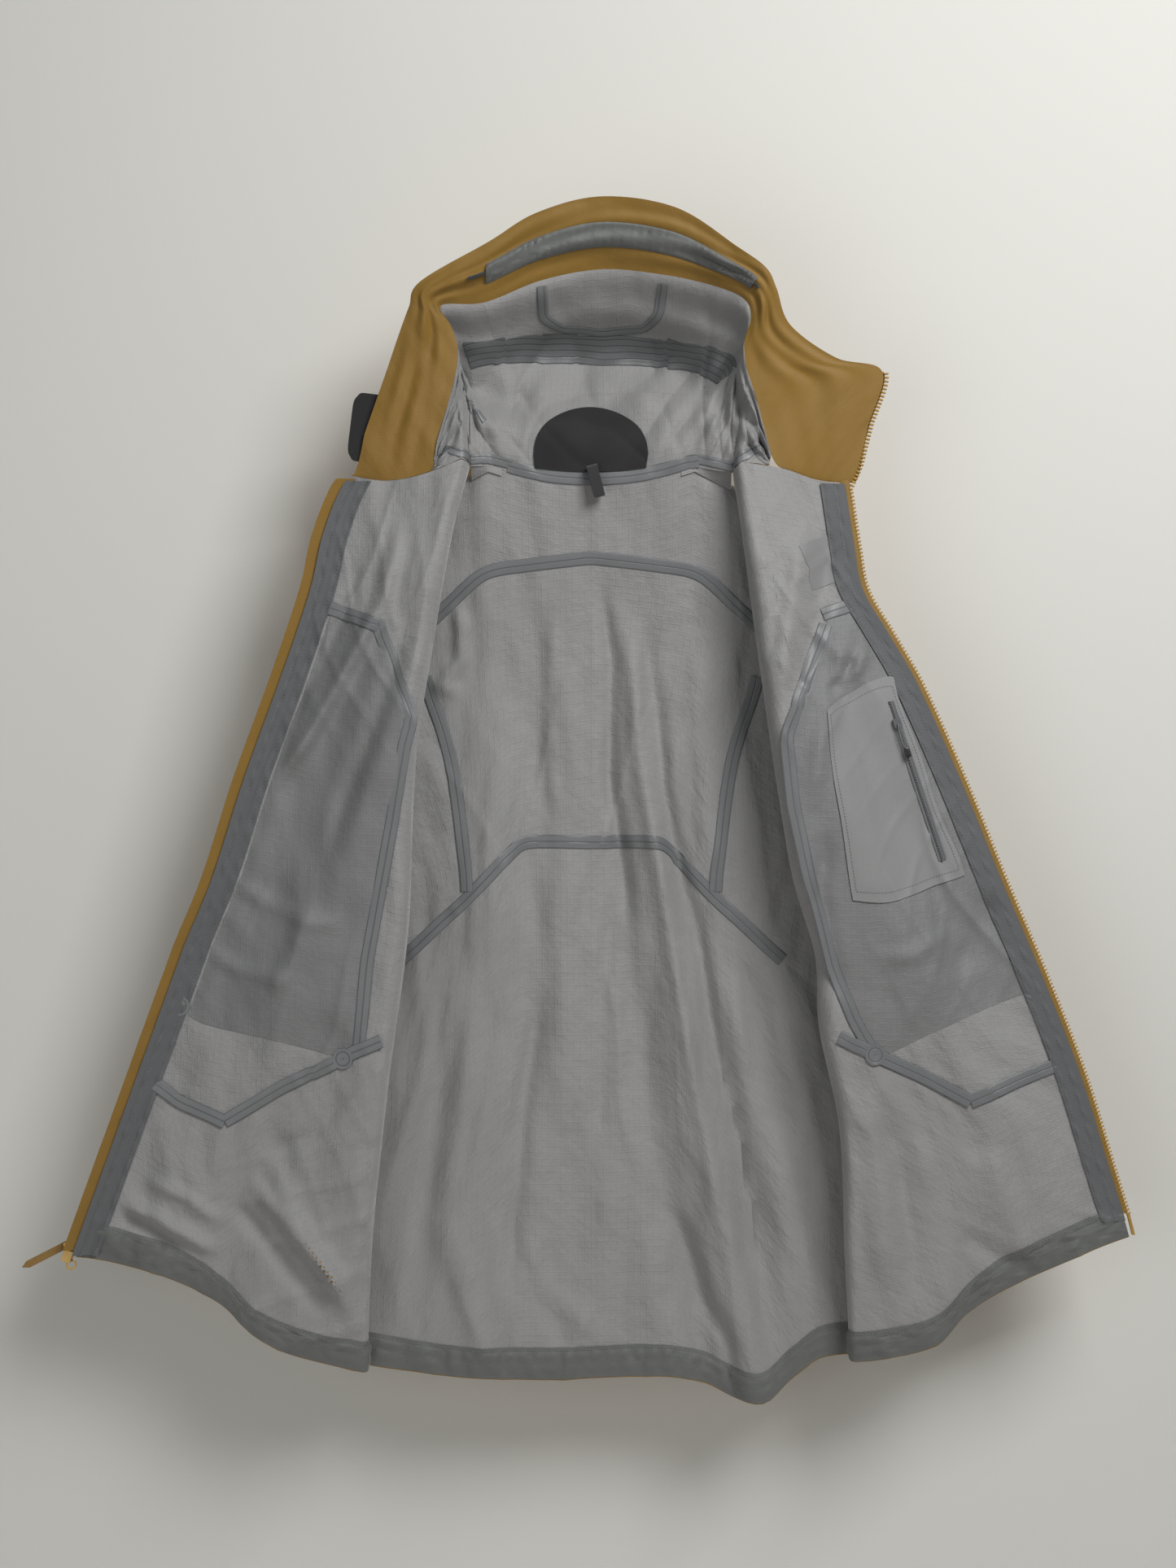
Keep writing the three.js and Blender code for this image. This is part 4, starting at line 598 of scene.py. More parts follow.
def round_profile(width, height, corner=None, count=20):
    """A closed outline: a superellipse, round for equal sides, squarer for a small corner."""
    power = 2.0 if corner is None else corner
    t = np.linspace(0, 2 * np.pi, count, endpoint=False)
    c, s = np.cos(t), np.sin(t)
    return np.stack([width / 2 * np.sign(c) * np.abs(c) ** (2 / power),
                     height / 2 * np.sign(s) * np.abs(s) ** (2 / power)], -1)


def spaced(path, step):
    """A path's points set again at an even step along it."""
    path = np.asarray(path, float)
    walk = walked(path)
    at = np.linspace(0, walk[-1], max(2, int(round(walk[-1] / step)) + 1))
    return np.stack([np.interp(at, walk, path[:, c]) for c in range(path.shape[1])], -1)


def repeated(name, centres, x_axis, y_axis, z_axis, half_size, materials, power=4.0):
    """Many equal rounded blocks in one mesh: a superellipsoid of 8 by 4 points and two poles, set
    at each centre along that centre's three axes."""
    lon, lat = np.meshgrid(np.linspace(0, 2 * np.pi, 8, endpoint=False),
                           np.linspace(-np.pi / 2, np.pi / 2, 6)[1:-1], indexing="ij")
    soft = lambda v: np.sign(v) * np.abs(v) ** (2 / power)
    shape = np.stack([soft(np.cos(lat)) * soft(np.cos(lon)), soft(np.cos(lat)) * soft(np.sin(lon)),
                      soft(np.sin(lat))], -1).reshape(-1, 3)
    shape = np.concatenate([shape, [[0, 0, -1], [0, 0, 1]]]) * np.asarray(half_size)
    a, b = lon.shape
    i, j = np.meshgrid(np.arange(a), np.arange(b - 1), indexing="ij")
    at = lambda p, q: ((p % a) * b + q).ravel()
    quads = np.stack([at(*c) for c in cell(i, j)], -1)
    k = np.arange(a)
    low = np.stack([np.full(a, a * b), at(k + 1, 0), at(k, 0)], -1)
    high = np.stack([np.full(a, a * b + 1), at(k, b - 1), at(k + 1, b - 1)], -1)
    tris = np.concatenate([low, high])
    n, size = len(centres), len(shape)
    points = (centres[:, None] + shape[None, :, :1] * x_axis[:, None]
              + shape[None, :, 1:2] * y_axis[:, None] + shape[None, :, 2:] * z_axis[:, None])
    move = (np.arange(n) * size)[:, None, None]
    quads, tris = (quads[None] + move).reshape(-1, 4), (tris[None] + move).reshape(-1, 3)
    flat = points.reshape(-1, 3)
    if signed_volume(flat, quads, tris) < 0:
        quads, tris = quads[:, ::-1], tris[:, ::-1]
    return make(name, flat, quads, tris=tris, materials=materials, sharp=70)


def stitches(name, path, pitch, size, material, normal=(0, -1, 0)):
    """A row of short thread stitches along a path: two thirds of each pitch is thread."""
    centres = spaced(path, pitch)
    t = tangents(centres)
    up = np.broadcast_to(np.asarray(normal, float), t.shape)
    up = unit(up - t * (t * up).sum(1, keepdims=True))
    return repeated(name, centres, t, np.cross(up, t), up, (pitch * 0.34, size / 2, size / 2.6),
                    [material], power=2.4)


# ---------------------------------------------------------------- materials
class Value:
    """A socket of a node tree, with arithmetic that adds Math nodes."""

    def __init__(self, tree, socket):
        self.tree, self.socket = tree, socket

    def math(self, operation, *others):
        node = self.tree.nodes.new("ShaderNodeMath")
        node.operation = operation
        for put, value in zip(node.inputs, (self, *others)):
            if isinstance(value, Value):
                self.tree.links.new(value.socket, put)
            else:
                put.default_value = value
        return Value(self.tree, node.outputs[0])

    def __add__(self, other):
        return self.math("ADD", other)

    def __mul__(self, other):
        return self.math("MULTIPLY", other)

    def __sub__(self, other):
        return self.math("SUBTRACT", other)

    def __rsub__(self, other):
        return self.math("MULTIPLY", -1.0).math("ADD", other)


class Shading:
    """A material's node tree, and one method that adds any node."""

    def __init__(self, name):
        self.material = bpy.data.materials.new(name)
        self.material.use_nodes = True
        self.tree = self.material.node_tree
        self.shader = self.tree.nodes["Principled BSDF"]

    def node(self, kind, settings=None, output=0, **inputs):
        """A node of a type, with its settings set first and then its sockets, by name or, for a
        name such as _0, by number."""
        node = self.tree.nodes.new(kind)
        for key, value in (settings or {}).items():
            if key == "stops":
                ramp = node.color_ramp
                while len(ramp.elements) < len(value):
                    ramp.elements.new(0.5)
                for element, (place, tone) in zip(ramp.elements, value):
                    element.position, element.color = place, (*tone, 1)
            else:
                setattr(node, key, value)
        for key, value in inputs.items():
            put = node.inputs[int(key[1:])] if key[0] == "_" else node.inputs[key.replace("_", " ")]
            if isinstance(value, Value):
                self.tree.links.new(value.socket, put)
            else:
                put.default_value = value
        return Value(self.tree, node.outputs[output])

    def place(self, name="cloth"):
        """The two coordinates of the piece's own UV map, in metres."""
        uv = self.node("ShaderNodeUVMap", {"uv_map": name})
        split = self.node("ShaderNodeSeparateXYZ", Vector=uv)
        other = Value(self.tree, split.socket.node.outputs[1])
        return uv, split, other

    def where(self):
        return self.node("ShaderNodeTexCoord", output=3)

    def noise(self, vector, scale, detail=3.0, rough=0.55):
        return self.node("ShaderNodeTexNoise", None, 0, Vector=vector, Scale=scale, Detail=detail,
                         Roughness=rough)

    def tint(self, factor, dark, light):
        return self.node("ShaderNodeMix", {"data_type": "RGBA"}, 2, _0=factor, _6=(*dark, 1),
                         _7=(*light, 1))

    def bump(self, height, distance, strength=1.0, normal=None):
        given = {} if normal is None else {"Normal": normal}
        return self.node("ShaderNodeBump", None, 0, Height=height, Distance=distance,
                         Strength=strength, **given)

    def finish(self, links, **values):
        for key, value in links.items():
            self.tree.links.new(value.socket, self.shader.inputs[key])
        for key, value in values.items():
            self.shader.inputs[key.replace("_", " ")].default_value = value
        return self.material


GRAIN_DEPTH = 0.00002


def tones(base, low, high):
    return tuple(c * low for c in base), tuple(min(1.0, c * high) for c in base)


def cloth_material(name, base, pitch, depth, rough, sheen, ripstop, mottle, crinkle):
    """Woven or knitted cloth. Height is the product of two sine waves a thread apart, one along
    each direction of the cloth, with an optional heavier thread every few millimetres and a soft
    crinkle. Colour varies a little with slow noise and with the threads."""
    s = Shading(name)
    uv, u, v = s.place()
    turn = 2 * math.pi / pitch
    threads = (u * turn).math("SINE") * (v * turn).math("SINE")
    height = threads * 0.5
    if ripstop:
        step = 2 * math.pi / ripstop
        heavy = (u * step).math("COSINE").math("MAXIMUM", (v * step).math("COSINE"))
        height = height + heavy.math("POWER", 14.0) * 1.2
    slow = s.noise(uv, 22.0, 4.0)
    fine = s.noise(uv, 900.0, 2.0)
    dark, light = tones(base, 1 - mottle, 1 + mottle)
    factor = slow * 0.55 + fine * 0.3 + threads * 0.08 + 0.05
    normal = s.bump(height, depth, 0.8)
    if crinkle:
        long_way = s.node("ShaderNodeVectorMath", {"operation": "MULTIPLY"}, 0, _0=uv,
                          _1=(26.0, 9.0, 1.0))
        normal = s.bump(s.noise(long_way, 1.0, 1.0, 0.5), crinkle * 5.0, 1.0, normal)
        normal = s.bump(s.noise(uv, 52.0, 4.0, 0.55), crinkle, 1.0, normal)
    return s.finish({"Base Color": s.tint(factor, dark, light), "Normal": normal,
                     "Roughness": slow * 0.16 + (rough - 0.08)},
                    Sheen_Weight=sheen, Sheen_Roughness=0.45, Specular_IOR_Level=0.35)


def tape_material(name, base):
    """Bonded tape: smooth film with pressed edges, so it is a little shinier than the cloth."""
    s = Shading(name)
    uv, _, v = s.place()
    grain = s.noise(uv, 420.0, 3.0)
    slow = s.noise(uv, 30.0, 3.0)
    line_step = 0.0055
    # The lines below peak at both edges and at the centre of the tape. Taken from the colour, they are
    # painted shade in the grooves that the bump presses there.
    lines = (v * (2 * math.pi / line_step)).math("COSINE").math("MAXIMUM", 0.0).math("POWER", 5.0)
    dark, light = tones(base, 0.66, 1.16)
    return s.finish({"Base Color": s.tint(slow * 0.5 + grain * 0.2 + 0.35 - lines * 0.75, dark, light),
                     "Roughness": grain * 0.18 + 0.36,
                     "Normal": s.bump(grain * 0.5 + slow - lines * 0.9, 0.00030, 0.8)},
                    Specular_IOR_Level=0.45)


def solid_material(name, base, rough, metallic, coat):
    """Moulded plastic or lacquered metal: fine grain, a little duller where it is handled."""
    s = Shading(name)
    where = s.where()
    fine = s.noise(where, 2600.0, 2.0)
    worn = s.noise(where, 240.0, 4.0)
    dark, light = tones(base, 0.82, 1.16)
    return s.finish({"Base Color": s.tint(worn, dark, light), "Roughness": worn * 0.2 + (rough - 0.1),
                     "Normal": s.bump(fine, GRAIN_DEPTH, 0.6)},
                    Metallic=metallic, Coat_Weight=coat, Coat_Roughness=0.25)


def webbing_material(name, base, pitch):
    """Woven webbing: slanted ribs from the sine of both directions added, and of their difference."""
    s = Shading(name)
    uv, u, v = s.place()
    turn = 2 * math.pi / pitch
    ribs = ((u + v) * turn).math("SINE").math("MAXIMUM", ((u - v) * turn).math("SINE"))
    slow = s.noise(uv, 260.0, 3.0)
    dark, light = tones(base, 0.6, 1.8)
    return s.finish({"Base Color": s.tint(ribs * 0.25 + slow * 0.5, dark, light),
                     "Roughness": slow * 0.2 + 0.55, "Normal": s.bump(ribs, 0.00018, 0.9)},
                    Sheen_Weight=0.3)


def stage_material(name, base, hidden_from_behind=False):
    """Matt paint with a trace of unevenness. A wall can be open to rays that meet its back."""
    s = Shading(name)
    where = s.where()
    dark, light = tones(base, 0.985, 1.015)
    s.finish({"Base Color": s.tint(s.noise(where, 1.6, 3.0), dark, light),
              "Normal": s.bump(s.noise(where, 55.0, 6.0), 0.0004, 0.25)},
             Roughness=0.9, Specular_IOR_Level=0.1)
    if hidden_from_behind:
        out = s.tree.nodes["Material Output"]
        mixed = s.node("ShaderNodeMixShader", None, 0, Fac=s.node("ShaderNodeNewGeometry", output=6),
                       _1=Value(s.tree, s.shader.outputs[0]), _2=s.node("ShaderNodeBsdfTransparent"))
        s.tree.links.new(mixed.socket, out.inputs["Surface"])
    return s.material


_kept = {}


def shade(base, share):
    return tuple(v * share for v in base)


def finish_of(name):
    """The named material, made once."""
    if name in _kept:
        return _kept[name]
    c = colours()
    cloths = {  # label, colour, thread pitch and depth, roughness, sheen, ripstop, mottle, crinkle
        "inside": ("knit backer", c.inside, 0.0011, 0.00016, 0.56, 0.30, 0.0052, 0.09, 0.0022),
        # This entry is the knit backer's colour made 0.92 as dark: painted shade for the inside of the hood
        # under the brim, not a cloth of its own.
        "shaded_lining": ("hood backer", shade(c.inside, 0.92), 0.0011, 0.00016, 0.56, 0.25, 0.0052, 0.08,
                   0.0014),
        "outside": ("gold face cloth", c.outside, 0.0009, 0.00012, 0.55, 0.04, 0, 0.08, 0.0008),
        "pocket": ("pocket stretch cloth", c.pocket, 0.0012, 0.00010, 0.6, 0.2, 0, 0.04, 0.0004),
        "bag": ("pocket bag cloth", c.bag, 0.0010, 0.00012, 0.5, 0.15, 0.0052, 0.07, 0.0014),
        "facing": ("facing cloth", c.facing, 0.0010, 0.00012, 0.5, 0.15, 0, 0.08, 0.0016),
        "zip_tape": ("zip tape weave", c.zip_tape, 0.0013, 0.00022, 0.6, 0.2, 0, 0.08, 0),
        "knit": ("black brushed knit", c.black, 0.0014, 0.0002, 0.8, 0.25, 0, 0.3, 0),
    }
    # The wide tape's colour is the seam tape's made 0.72 as dark: partly the band's own darker tone, partly
    # painted shade under the brim.
    tapes = {"tape": ("bonded tape", c.tape), "shaded_dark_tape": ("wide bonded tape", shade(c.tape, 0.72))}
    solids = {  # label, colour, roughness, metallic, coat
        "thread": ("grey thread", (0.13, 0.134, 0.138), 0.6, 0, 0),
        "teeth": ("moulded gold teeth", c.teeth, 0.5, 0, 0),
        "gold_metal": ("gold lacquer", (0.36, 0.22, 0.05), 0.32, 0.55, 0.4),
        "grey_metal": ("grey lacquer", (0.14, 0.145, 0.15), 0.35, 0.5, 0.3),
        "grey_coil": ("grey nylon coil", (0.10, 0.10, 0.105), 0.4, 0, 0),
        "gold_coil": ("gold nylon coil", (0.28, 0.165, 0.035), 0.4, 0, 0),
        "black_plastic": ("black acetal", (0.014, 0.014, 0.015), 0.38, 0, 0),
    }
    webbings = {  # label, colour, rib pitch
        "webbing": ("black webbing", c.black, 0.0011),
        "gold_webbing": ("gold webbing", shade(c.outside, 1.15), 0.0011),
        "grey_cord": ("grey cord", (0.13, 0.13, 0.135), 0.0009),
        "gold_cord": ("gold cord", c.outside, 0.0009),
    }
    for maker, table in ((cloth_material, cloths), (tape_material, tapes),
                         (solid_material, solids), (webbing_material, webbings)):
        if name in table:
            _kept[name] = maker(*table[name])
    return _kept[name]


# ---------------------------------------------------------------- placing pieces
def keep(piece, carrier="jacket", stands_for=()):
    """Rides a piece on its body, names its material slot and says which solids it stands for."""
    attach(piece, carrier)
    if stands_for:
        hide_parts(*([stands_for] if isinstance(stands_for, str) else stands_for))
    return piece


SHELL = ("inside", "outside")
EDGE_ALLOWANCE = 0.004  # metres
_body = {}


def body():
    if "grid" not in _body:
        d = bpy.context.scene.jacket_detail
        _body["grid"] = Body(d.columns, d.rows)
    return _body["grid"]


def toward_viewer(grid):
    """The sign that turns a grid's normals toward -Y."""
    return -1 if cross_normals(grid)[..., 1].mean() > 0 else 1


def between(left, right, top, bottom, columns=40, rows=60):
    """A patch ruled between two side lines, each a curve of x at a drop, and two end curves of
    the drop at an x."""
    u, v = np.meshgrid(np.linspace(0, 1, columns), np.linspace(0, 1, rows), indexing="ij")
    drop = lerp(150, 450, v)
    for _ in range(12):
        x = lerp(left(drop), right(drop), u)
        drop = lerp(top(x), bottom(x), v)
    return x, -drop


def strip_on(surface, path, width, lift, step, columns, crown):
    """A grid for a strip on a surface: a path in the surface's own two parameters, set at an even
    step, widened along the surface square to the path, and lifted off along its normal."""
    fine = np.asarray(path, float)
    t = np.linspace(0, 1, len(fine))
    dense = np.stack([np.interp(np.linspace(0, 1, 400), t, fine[:, c]) for c in (0, 1)], -1)
    walk = walked(surface(dense[:, 0], dense[:, 1]))
    at = np.linspace(0, walk[-1], max(3, int(walk[-1] / step) + 1))
    u, v = (np.interp(at, walk, dense[:, c]) for c in (0, 1))
    for _ in range(3):
        u[1:-1] = (u[:-2] + 2 * u[1:-1] + u[2:]) / 4
        v[1:-1] = (v[:-2] + 2 * v[1:-1] + v[2:]) / 4
    e = 0.01 * max(np.ptp(dense[:, 0]), np.ptp(dense[:, 1])) / 10
    a = (surface(u + e, v) - surface(u - e, v)) / (2 * e)
    b = (surface(u, v + e) - surface(u, v - e)) / (2 * e)
    normal = unit(np.cross(a, b))
    normal *= np.where(normal[:, 1:2] > 0, -1, 1)
    side = np.cross(normal, tangents(surface(u, v)))
    aa, ab, bb = (a * a).sum(1), (a * b).sum(1), (b * b).sum(1)
    sa, sb = (side * a).sum(1), (side * b).sum(1)
    det = aa * bb - ab * ab
    du, dv = (sa * bb - sb * ab) / det, (sb * aa - sa * ab) / det
    k = np.linspace(-1, 1, columns)
    reach = k[None] * width / 2
    grid = surface(u[:, None] + du[:, None] * reach, v[:, None] + dv[:, None] * reach)
    return grid + normal[:, None] * (lift + crown * (1 - k**2))[None, :, None]


def back_surface(x, z):
    return np.stack(np.broadcast_arrays(x, back_y(x, z), z), -1)


def front_surface(half):
    return lambda x, z: np.stack(np.broadcast_arrays(x, front_y(half, x, z), z), -1)


# ---------------------------------------------------------------- hood and collar
RIM = np.array([  # x, z, y of the free edge
    [-197, 2, -8], [-186, 32, -10], [-169, 79, -14], [-158, 108, -22], [-148, 132, -30],
    [-138, 151, -38], [-83, 182, -42], [-44, 205, -44], [8, 218, -44], [68, 209, -44],
    [117, 178, -43], [140, 162, -40], [149, 146, -36], [161, 118, -28], [199, 94, -16],
    [238, 84, -8], [226, 38, -6], [215, -6, -7]], float)
FACING_EDGE = np.array([  # x, z, y of the facing's inner edge
    [-132, 1, -18], [-125, 28, -19], [-112, 74, -20], [-109, 98, -21], [-114, 117, -23],
    [-122, 134, -27], [-87, 137, -25], [-41, 156, -20], [9, 166, -16], [59, 161, -18],
    [100, 151, -22], [123, 140, -26], [129, 126, -26], [124, 104, -24], [126, 84, -22],
    [134, 60, -20], [141, 34, -18], [155, 3, -18]], float)
NECK_X = [-132, -124, -112, -100, -88, -74, -56, -36, 0, 40, 62, 80, 92, 104, 114, 126, 138, 155]
INSIDE_DEPTH = [0, 2, 8, 14, 20, 30, 40, 46, 48, 46, 40, 30, 20, 14, 8, 4, 2, 0]
LAST_MARK, BRIM_MARKS, CROWN_MARKS, COLLAR_TOP = 17, (5, 12), (6, 11), 0.45


def marked(values):
    return curve(list(enumerate(values)))


rim_x, rim_z, rim_y = (marked(RIM[:, c]) for c in range(3))
facing_x, facing_z, facing_y = (marked(FACING_EDGE[:, c]) for c in range(3))
neck_x, inside_depth = marked(NECK_X), marked(INSIDE_DEPTH)


def neck_point(x):
    """A place just above the neck seam, by its distance across."""
    edge = body().neck_edge()
    return np.stack([x, np.interp(x, edge[:, 0], edge[:, 1]),
                     np.interp(x, edge[:, 0], edge[:, 2]) + 0.5], -1)


def rim_point(mark):
    """A place on the free edge of the hood and collar, by its mark."""
    return np.stack([rim_x(mark), rim_y(mark), rim_z(mark)], -1)


def facing_point(mark, k):
    """A place on the gold facing: k 0 on its inner edge and 1 on the rim, bowed and a little
    wrinkled, and drawn to the neck seam at its two ends."""
    mark, k = np.broadcast_arrays(np.asarray(mark, float), np.asarray(k, float))
    inner = np.stack([facing_x(mark), facing_y(mark), facing_z(mark)], -1)
    p = lerp(inner, rim_point(mark), k[..., None])
    end = np.minimum(mark, LAST_MARK - mark)
    pull = clamp(1 - end, 0, 1)[..., None]
    p = lerp(p, neck_point(p[..., 0]), pull)
    bow = np.sin(np.pi * k) * ease(0, 3, end)
    wrinkle = (0.45 * np.sin(3.1 * mark + 4 * k) + 0.7 * np.sin(14 * k + 1.1 * mark + 1)
               + 0.5 * np.sin(23 * k - 1.7 * mark)) * np.sin(np.pi * k) * ease(0, 1.5, end)
    p[..., 1] -= 3 * bow + sizes().fold_depth * wrinkle
    return p


def lining_point(mark, k):
    """A place on the grey lining: k 0 on the neck seam and 1 on the facing's inner edge, pushed
    back as a bowl, with level folds in the hood and short slanted wrinkles in the collar."""
    mark, k = np.broadcast_arrays(np.asarray(mark, float), np.asarray(k, float))
    p = lerp(neck_point(neck_x(mark)), facing_point(mark, 0), k[..., None])
    p[..., 1] += inside_depth(mark) * (0.5 - 0.5 * np.cos(2 * np.pi * np.maximum(k, 0)**1.5))
    folds = (3.0 * np.sin(30 * k + 0.7 * np.sin(1.3 * mark)) * ease(0.7, 0.85, k)
             + 1.8 * np.sin(17 * k + 1.1 * mark) * ease(0.1, 0.3, k)
             + 1.2 * np.sin(2.9 * mark + 9 * k) + 0.8 * np.sin(6.1 * mark - 14 * k)
             + 1.5 * (1 - np.abs(np.sin(2.3 * mark + 7 * k + np.sin(5 * k)))) ** 3
             + 1.2 * (1 - np.abs(np.sin(1.7 * mark - 9 * k + np.sin(2 * mark)))) ** 3)
    fade = np.sin(np.pi * clamp(k, 0, 1)) ** 0.7 * ease(0, 1.5, inside_depth(mark))
    p[..., 1] += sizes().fold_depth * folds * fade
    return p


def band(point, first, last, ks, per_mark=14):
    """A grid of a surface's points between two marks, at the given heights."""
    marks = np.linspace(first, last, max(4, int((last - first) * per_mark)))
    return point(marks[:, None], np.asarray(ks, float)[None])


# ---------------------------------------------------------------- pieces
def sheet_piece(name, grid, materials=SHELL, thick=None, inside=None, ring=False, node=None):
    """One sheet of cloth: built, placed in the table and declared. Its inner face is turned to
    the viewer unless inside gives the sign."""
    sign = toward_viewer(grid) if inside is None else inside
    piece = cloth_sheet(name, grid, sizes().cloth if thick is None else thick, sign,
                        [finish_of(m) for m in materials], ring)
    keep(piece, "jacket", node or ())
    width, long, area = mean_extent(grid, ring)
    return piece


def mean_extent(grid, ring=False):
    """The mean width and the mean length of a grid along the cloth, each with an allowance for
    its edges, and its area, held to no more than the two means multiplied. It is worked out from
    the same points as the mesh, and a piece that narrows was cut from a larger rectangle."""
    uv = arc_uv(grid, ring) / MM
    w = float(np.ptp(uv[..., 0], axis=0).mean())
    h = float(np.ptp(uv[..., 1], axis=1).mean())
    full = np.concatenate([grid, grid[:1]]) if ring else grid
    n = np.cross(full[1:, :-1] - full[:-1, :-1], full[:-1, 1:] - full[:-1, :-1])
    area = float(np.linalg.norm(n, axis=-1).sum())
    return (round(w / 1000 + EDGE_ALLOWANCE, 3), round(h / 1000 + EDGE_ALLOWANCE, 3),
            round(min(area / 1e6, w * h / 1e6), 4))


def tape_sheet(name, grid, material, ring=False):
    return cloth_sheet(name, grid, sizes().tape, toward_viewer(grid), [finish_of(material)], ring)


def build_panels():
    """The eleven panels of the body, each a part of one draped grid."""
    b = body()
    seam = b.front_seam
    for name, top, bottom, first in (("yoke", 0, 1, b.turn), ("centre", 1, 2, b.princess),
                                     ("lower", 2, 3, b.middle)):
        sheet_piece(f"back_{name}_cloth", b.both(first, top, bottom), inside=-1,
                    node=f"back_{name}_panel")
    for side, half in HALVES:
        for name, first, last, top, bottom in (
                ("front", 0, seam, 0, 2), ("shoulder", seam, b.middle, 0, 1),
                ("side", seam, b.princess, 1, 2), ("front_lower", 0, b.middle, 2, 3)):
            sheet_piece(f"{side}_{name}_cloth", b.part(half, first, last, top, bottom),
                        inside=half.sign, node=f"{side}_{name}_panel")


CUFF_OUT, CUFF_BACK, CUFF_TOP, CUFF_WIDE, CUFF_DEEP = 232, 68, 632.4, 50, 16


def sleeve_grid(half, rings, sides):
    """Rings from the armhole, which lies flat against the body, down to a hung flat tube."""
    k, angle = np.meshgrid(rings, np.linspace(0, 2 * np.pi, sides, endpoint=False))
    settle, down = np.minimum(1, k), np.maximum(0, k - 1)
    c, s = np.cos(angle), np.sin(angle)
    top_drop = lerp(42, ARMHOLE_DROP - 1, (1 - c) / 2)
    turn = half.turn(top_drop) - SIDE_RADIUS
    share = np.arcsin(clamp((top_drop - SIDE_YOKE) / (ARMHOLE_DROP - SIDE_YOKE), 0, 1)) / np.pi
    share = np.where(s >= 0, share, 1 - share)
    rounded = (1 - np.cos(np.pi * share)) / 2
    start = (turn + SIDE_RADIUS * np.sin(np.pi * share) + 0.9,
             lerp(middle_y(turn, top_drop), back_y(half.sign * turn, -top_drop), rounded)
             - 0.9 * np.sign(s), top_drop)
    hung = (lerp(216, CUFF_OUT, down) + lerp(68, CUFF_WIDE, down) * c,
            CUFF_BACK - lerp(20, CUFF_DEEP, down) * s,
            lerp(330, 632, down))
    out = lerp(start[0], hung[0], settle**2)
    y = lerp(start[1], hung[1], settle**0.5)
    drop = lerp(start[2], hung[2], settle)
    grid = np.stack([half.sign * out, y, -drop], -1)
    soft = ease(0.02, 0.3, k) * ease(0, 0.12, 2 - k)
    turned = angle + 0.35 * np.sin(drop / 33)
    sharp = lambda phase: (1 - np.abs(np.sin(phase))) ** 2.5
    wrinkle = (2.6 * sharp(1.0 * angle + drop / 47) * (0.5 + 0.5 * np.sin(drop / 29 + angle))
               + 2.2 * sharp(1.5 * angle - drop / 31 + 1) * (0.5 + 0.5 * np.sin(drop / 41 - angle))
               + 0.9 * np.sin(2 * turned + drop / 60)) * soft * sizes().fold_depth
    return grid + cross_normals(grid, True) * wrinkle[..., None]


def cuff_grid(half, rows=14, sides=72):
    """An upright elliptic tube under the sleeve's foot."""
    down, angle = np.meshgrid(np.linspace(0, 46, rows),
                              np.linspace(0, 2 * np.pi, sides, endpoint=False))
    return np.stack([half.sign * (CUFF_OUT + CUFF_WIDE * np.cos(angle)),
                     CUFF_BACK - CUFF_DEEP * np.sin(angle), -CUFF_TOP - down], -1)


def outward(grid):
    """The sign that turns a ring grid's normals toward its own axis."""
    n = cross_normals(grid, True)
    centre = grid.mean(0, keepdims=True)
    return -1 if (n * (grid - centre)).sum() > 0 else 1


def rounded_plate(centre, across_axis, up_axis, width, height, columns=28, rows=28, corner=0.13):
    """A flat grid with rounded corners: a square grid whose outer lines are drawn in at the ends."""
    u, v = np.meshgrid(np.linspace(-1, 1, columns), np.linspace(-1, 1, rows), indexing="ij")
    small = min(width, height)
    x = u * width / 2 * (1 - corner * small / width * v**8)
    z = v * height / 2 * (1 - corner * small / height * u**8)
    return (np.asarray(centre, float) + x[..., None] * np.asarray(across_axis, float)
            + z[..., None] * np.asarray(up_axis, float))


def build_sleeves():
    """Both sleeves as bent tubes, their cuffs, and the tabs that peel off them."""
    rings = np.concatenate([np.linspace(0, 0.1, 9), np.linspace(0.1, 1, 70)[1:],
                            np.linspace(1, 2, 80)[1:]])
    for side, half in HALVES:
        grid = sleeve_grid(half, rings, 120)
        sheet_piece(f"{side}_sleeve_cloth", grid, inside=outward(grid), ring=True, node=f"{side}_sleeve")
        cuff = cuff_grid(half)
        sheet_piece(f"{side}_cuff_cloth", cuff, inside=outward(cuff), ring=True, node=f"{side}_cuff")
        tab = rounded_plate((half.sign * CUFF_OUT, 86.1, -655.5), (1, 0, 0), (0, 0, 1), 68, 28)
        piece = cloth_sheet(f"{side}_cuff_tab_piece", tab, 1.5, 1, [finish_of("webbing")])
        keep(piece, f"{side}_cuff_tab", f"{side}_cuff_tab")


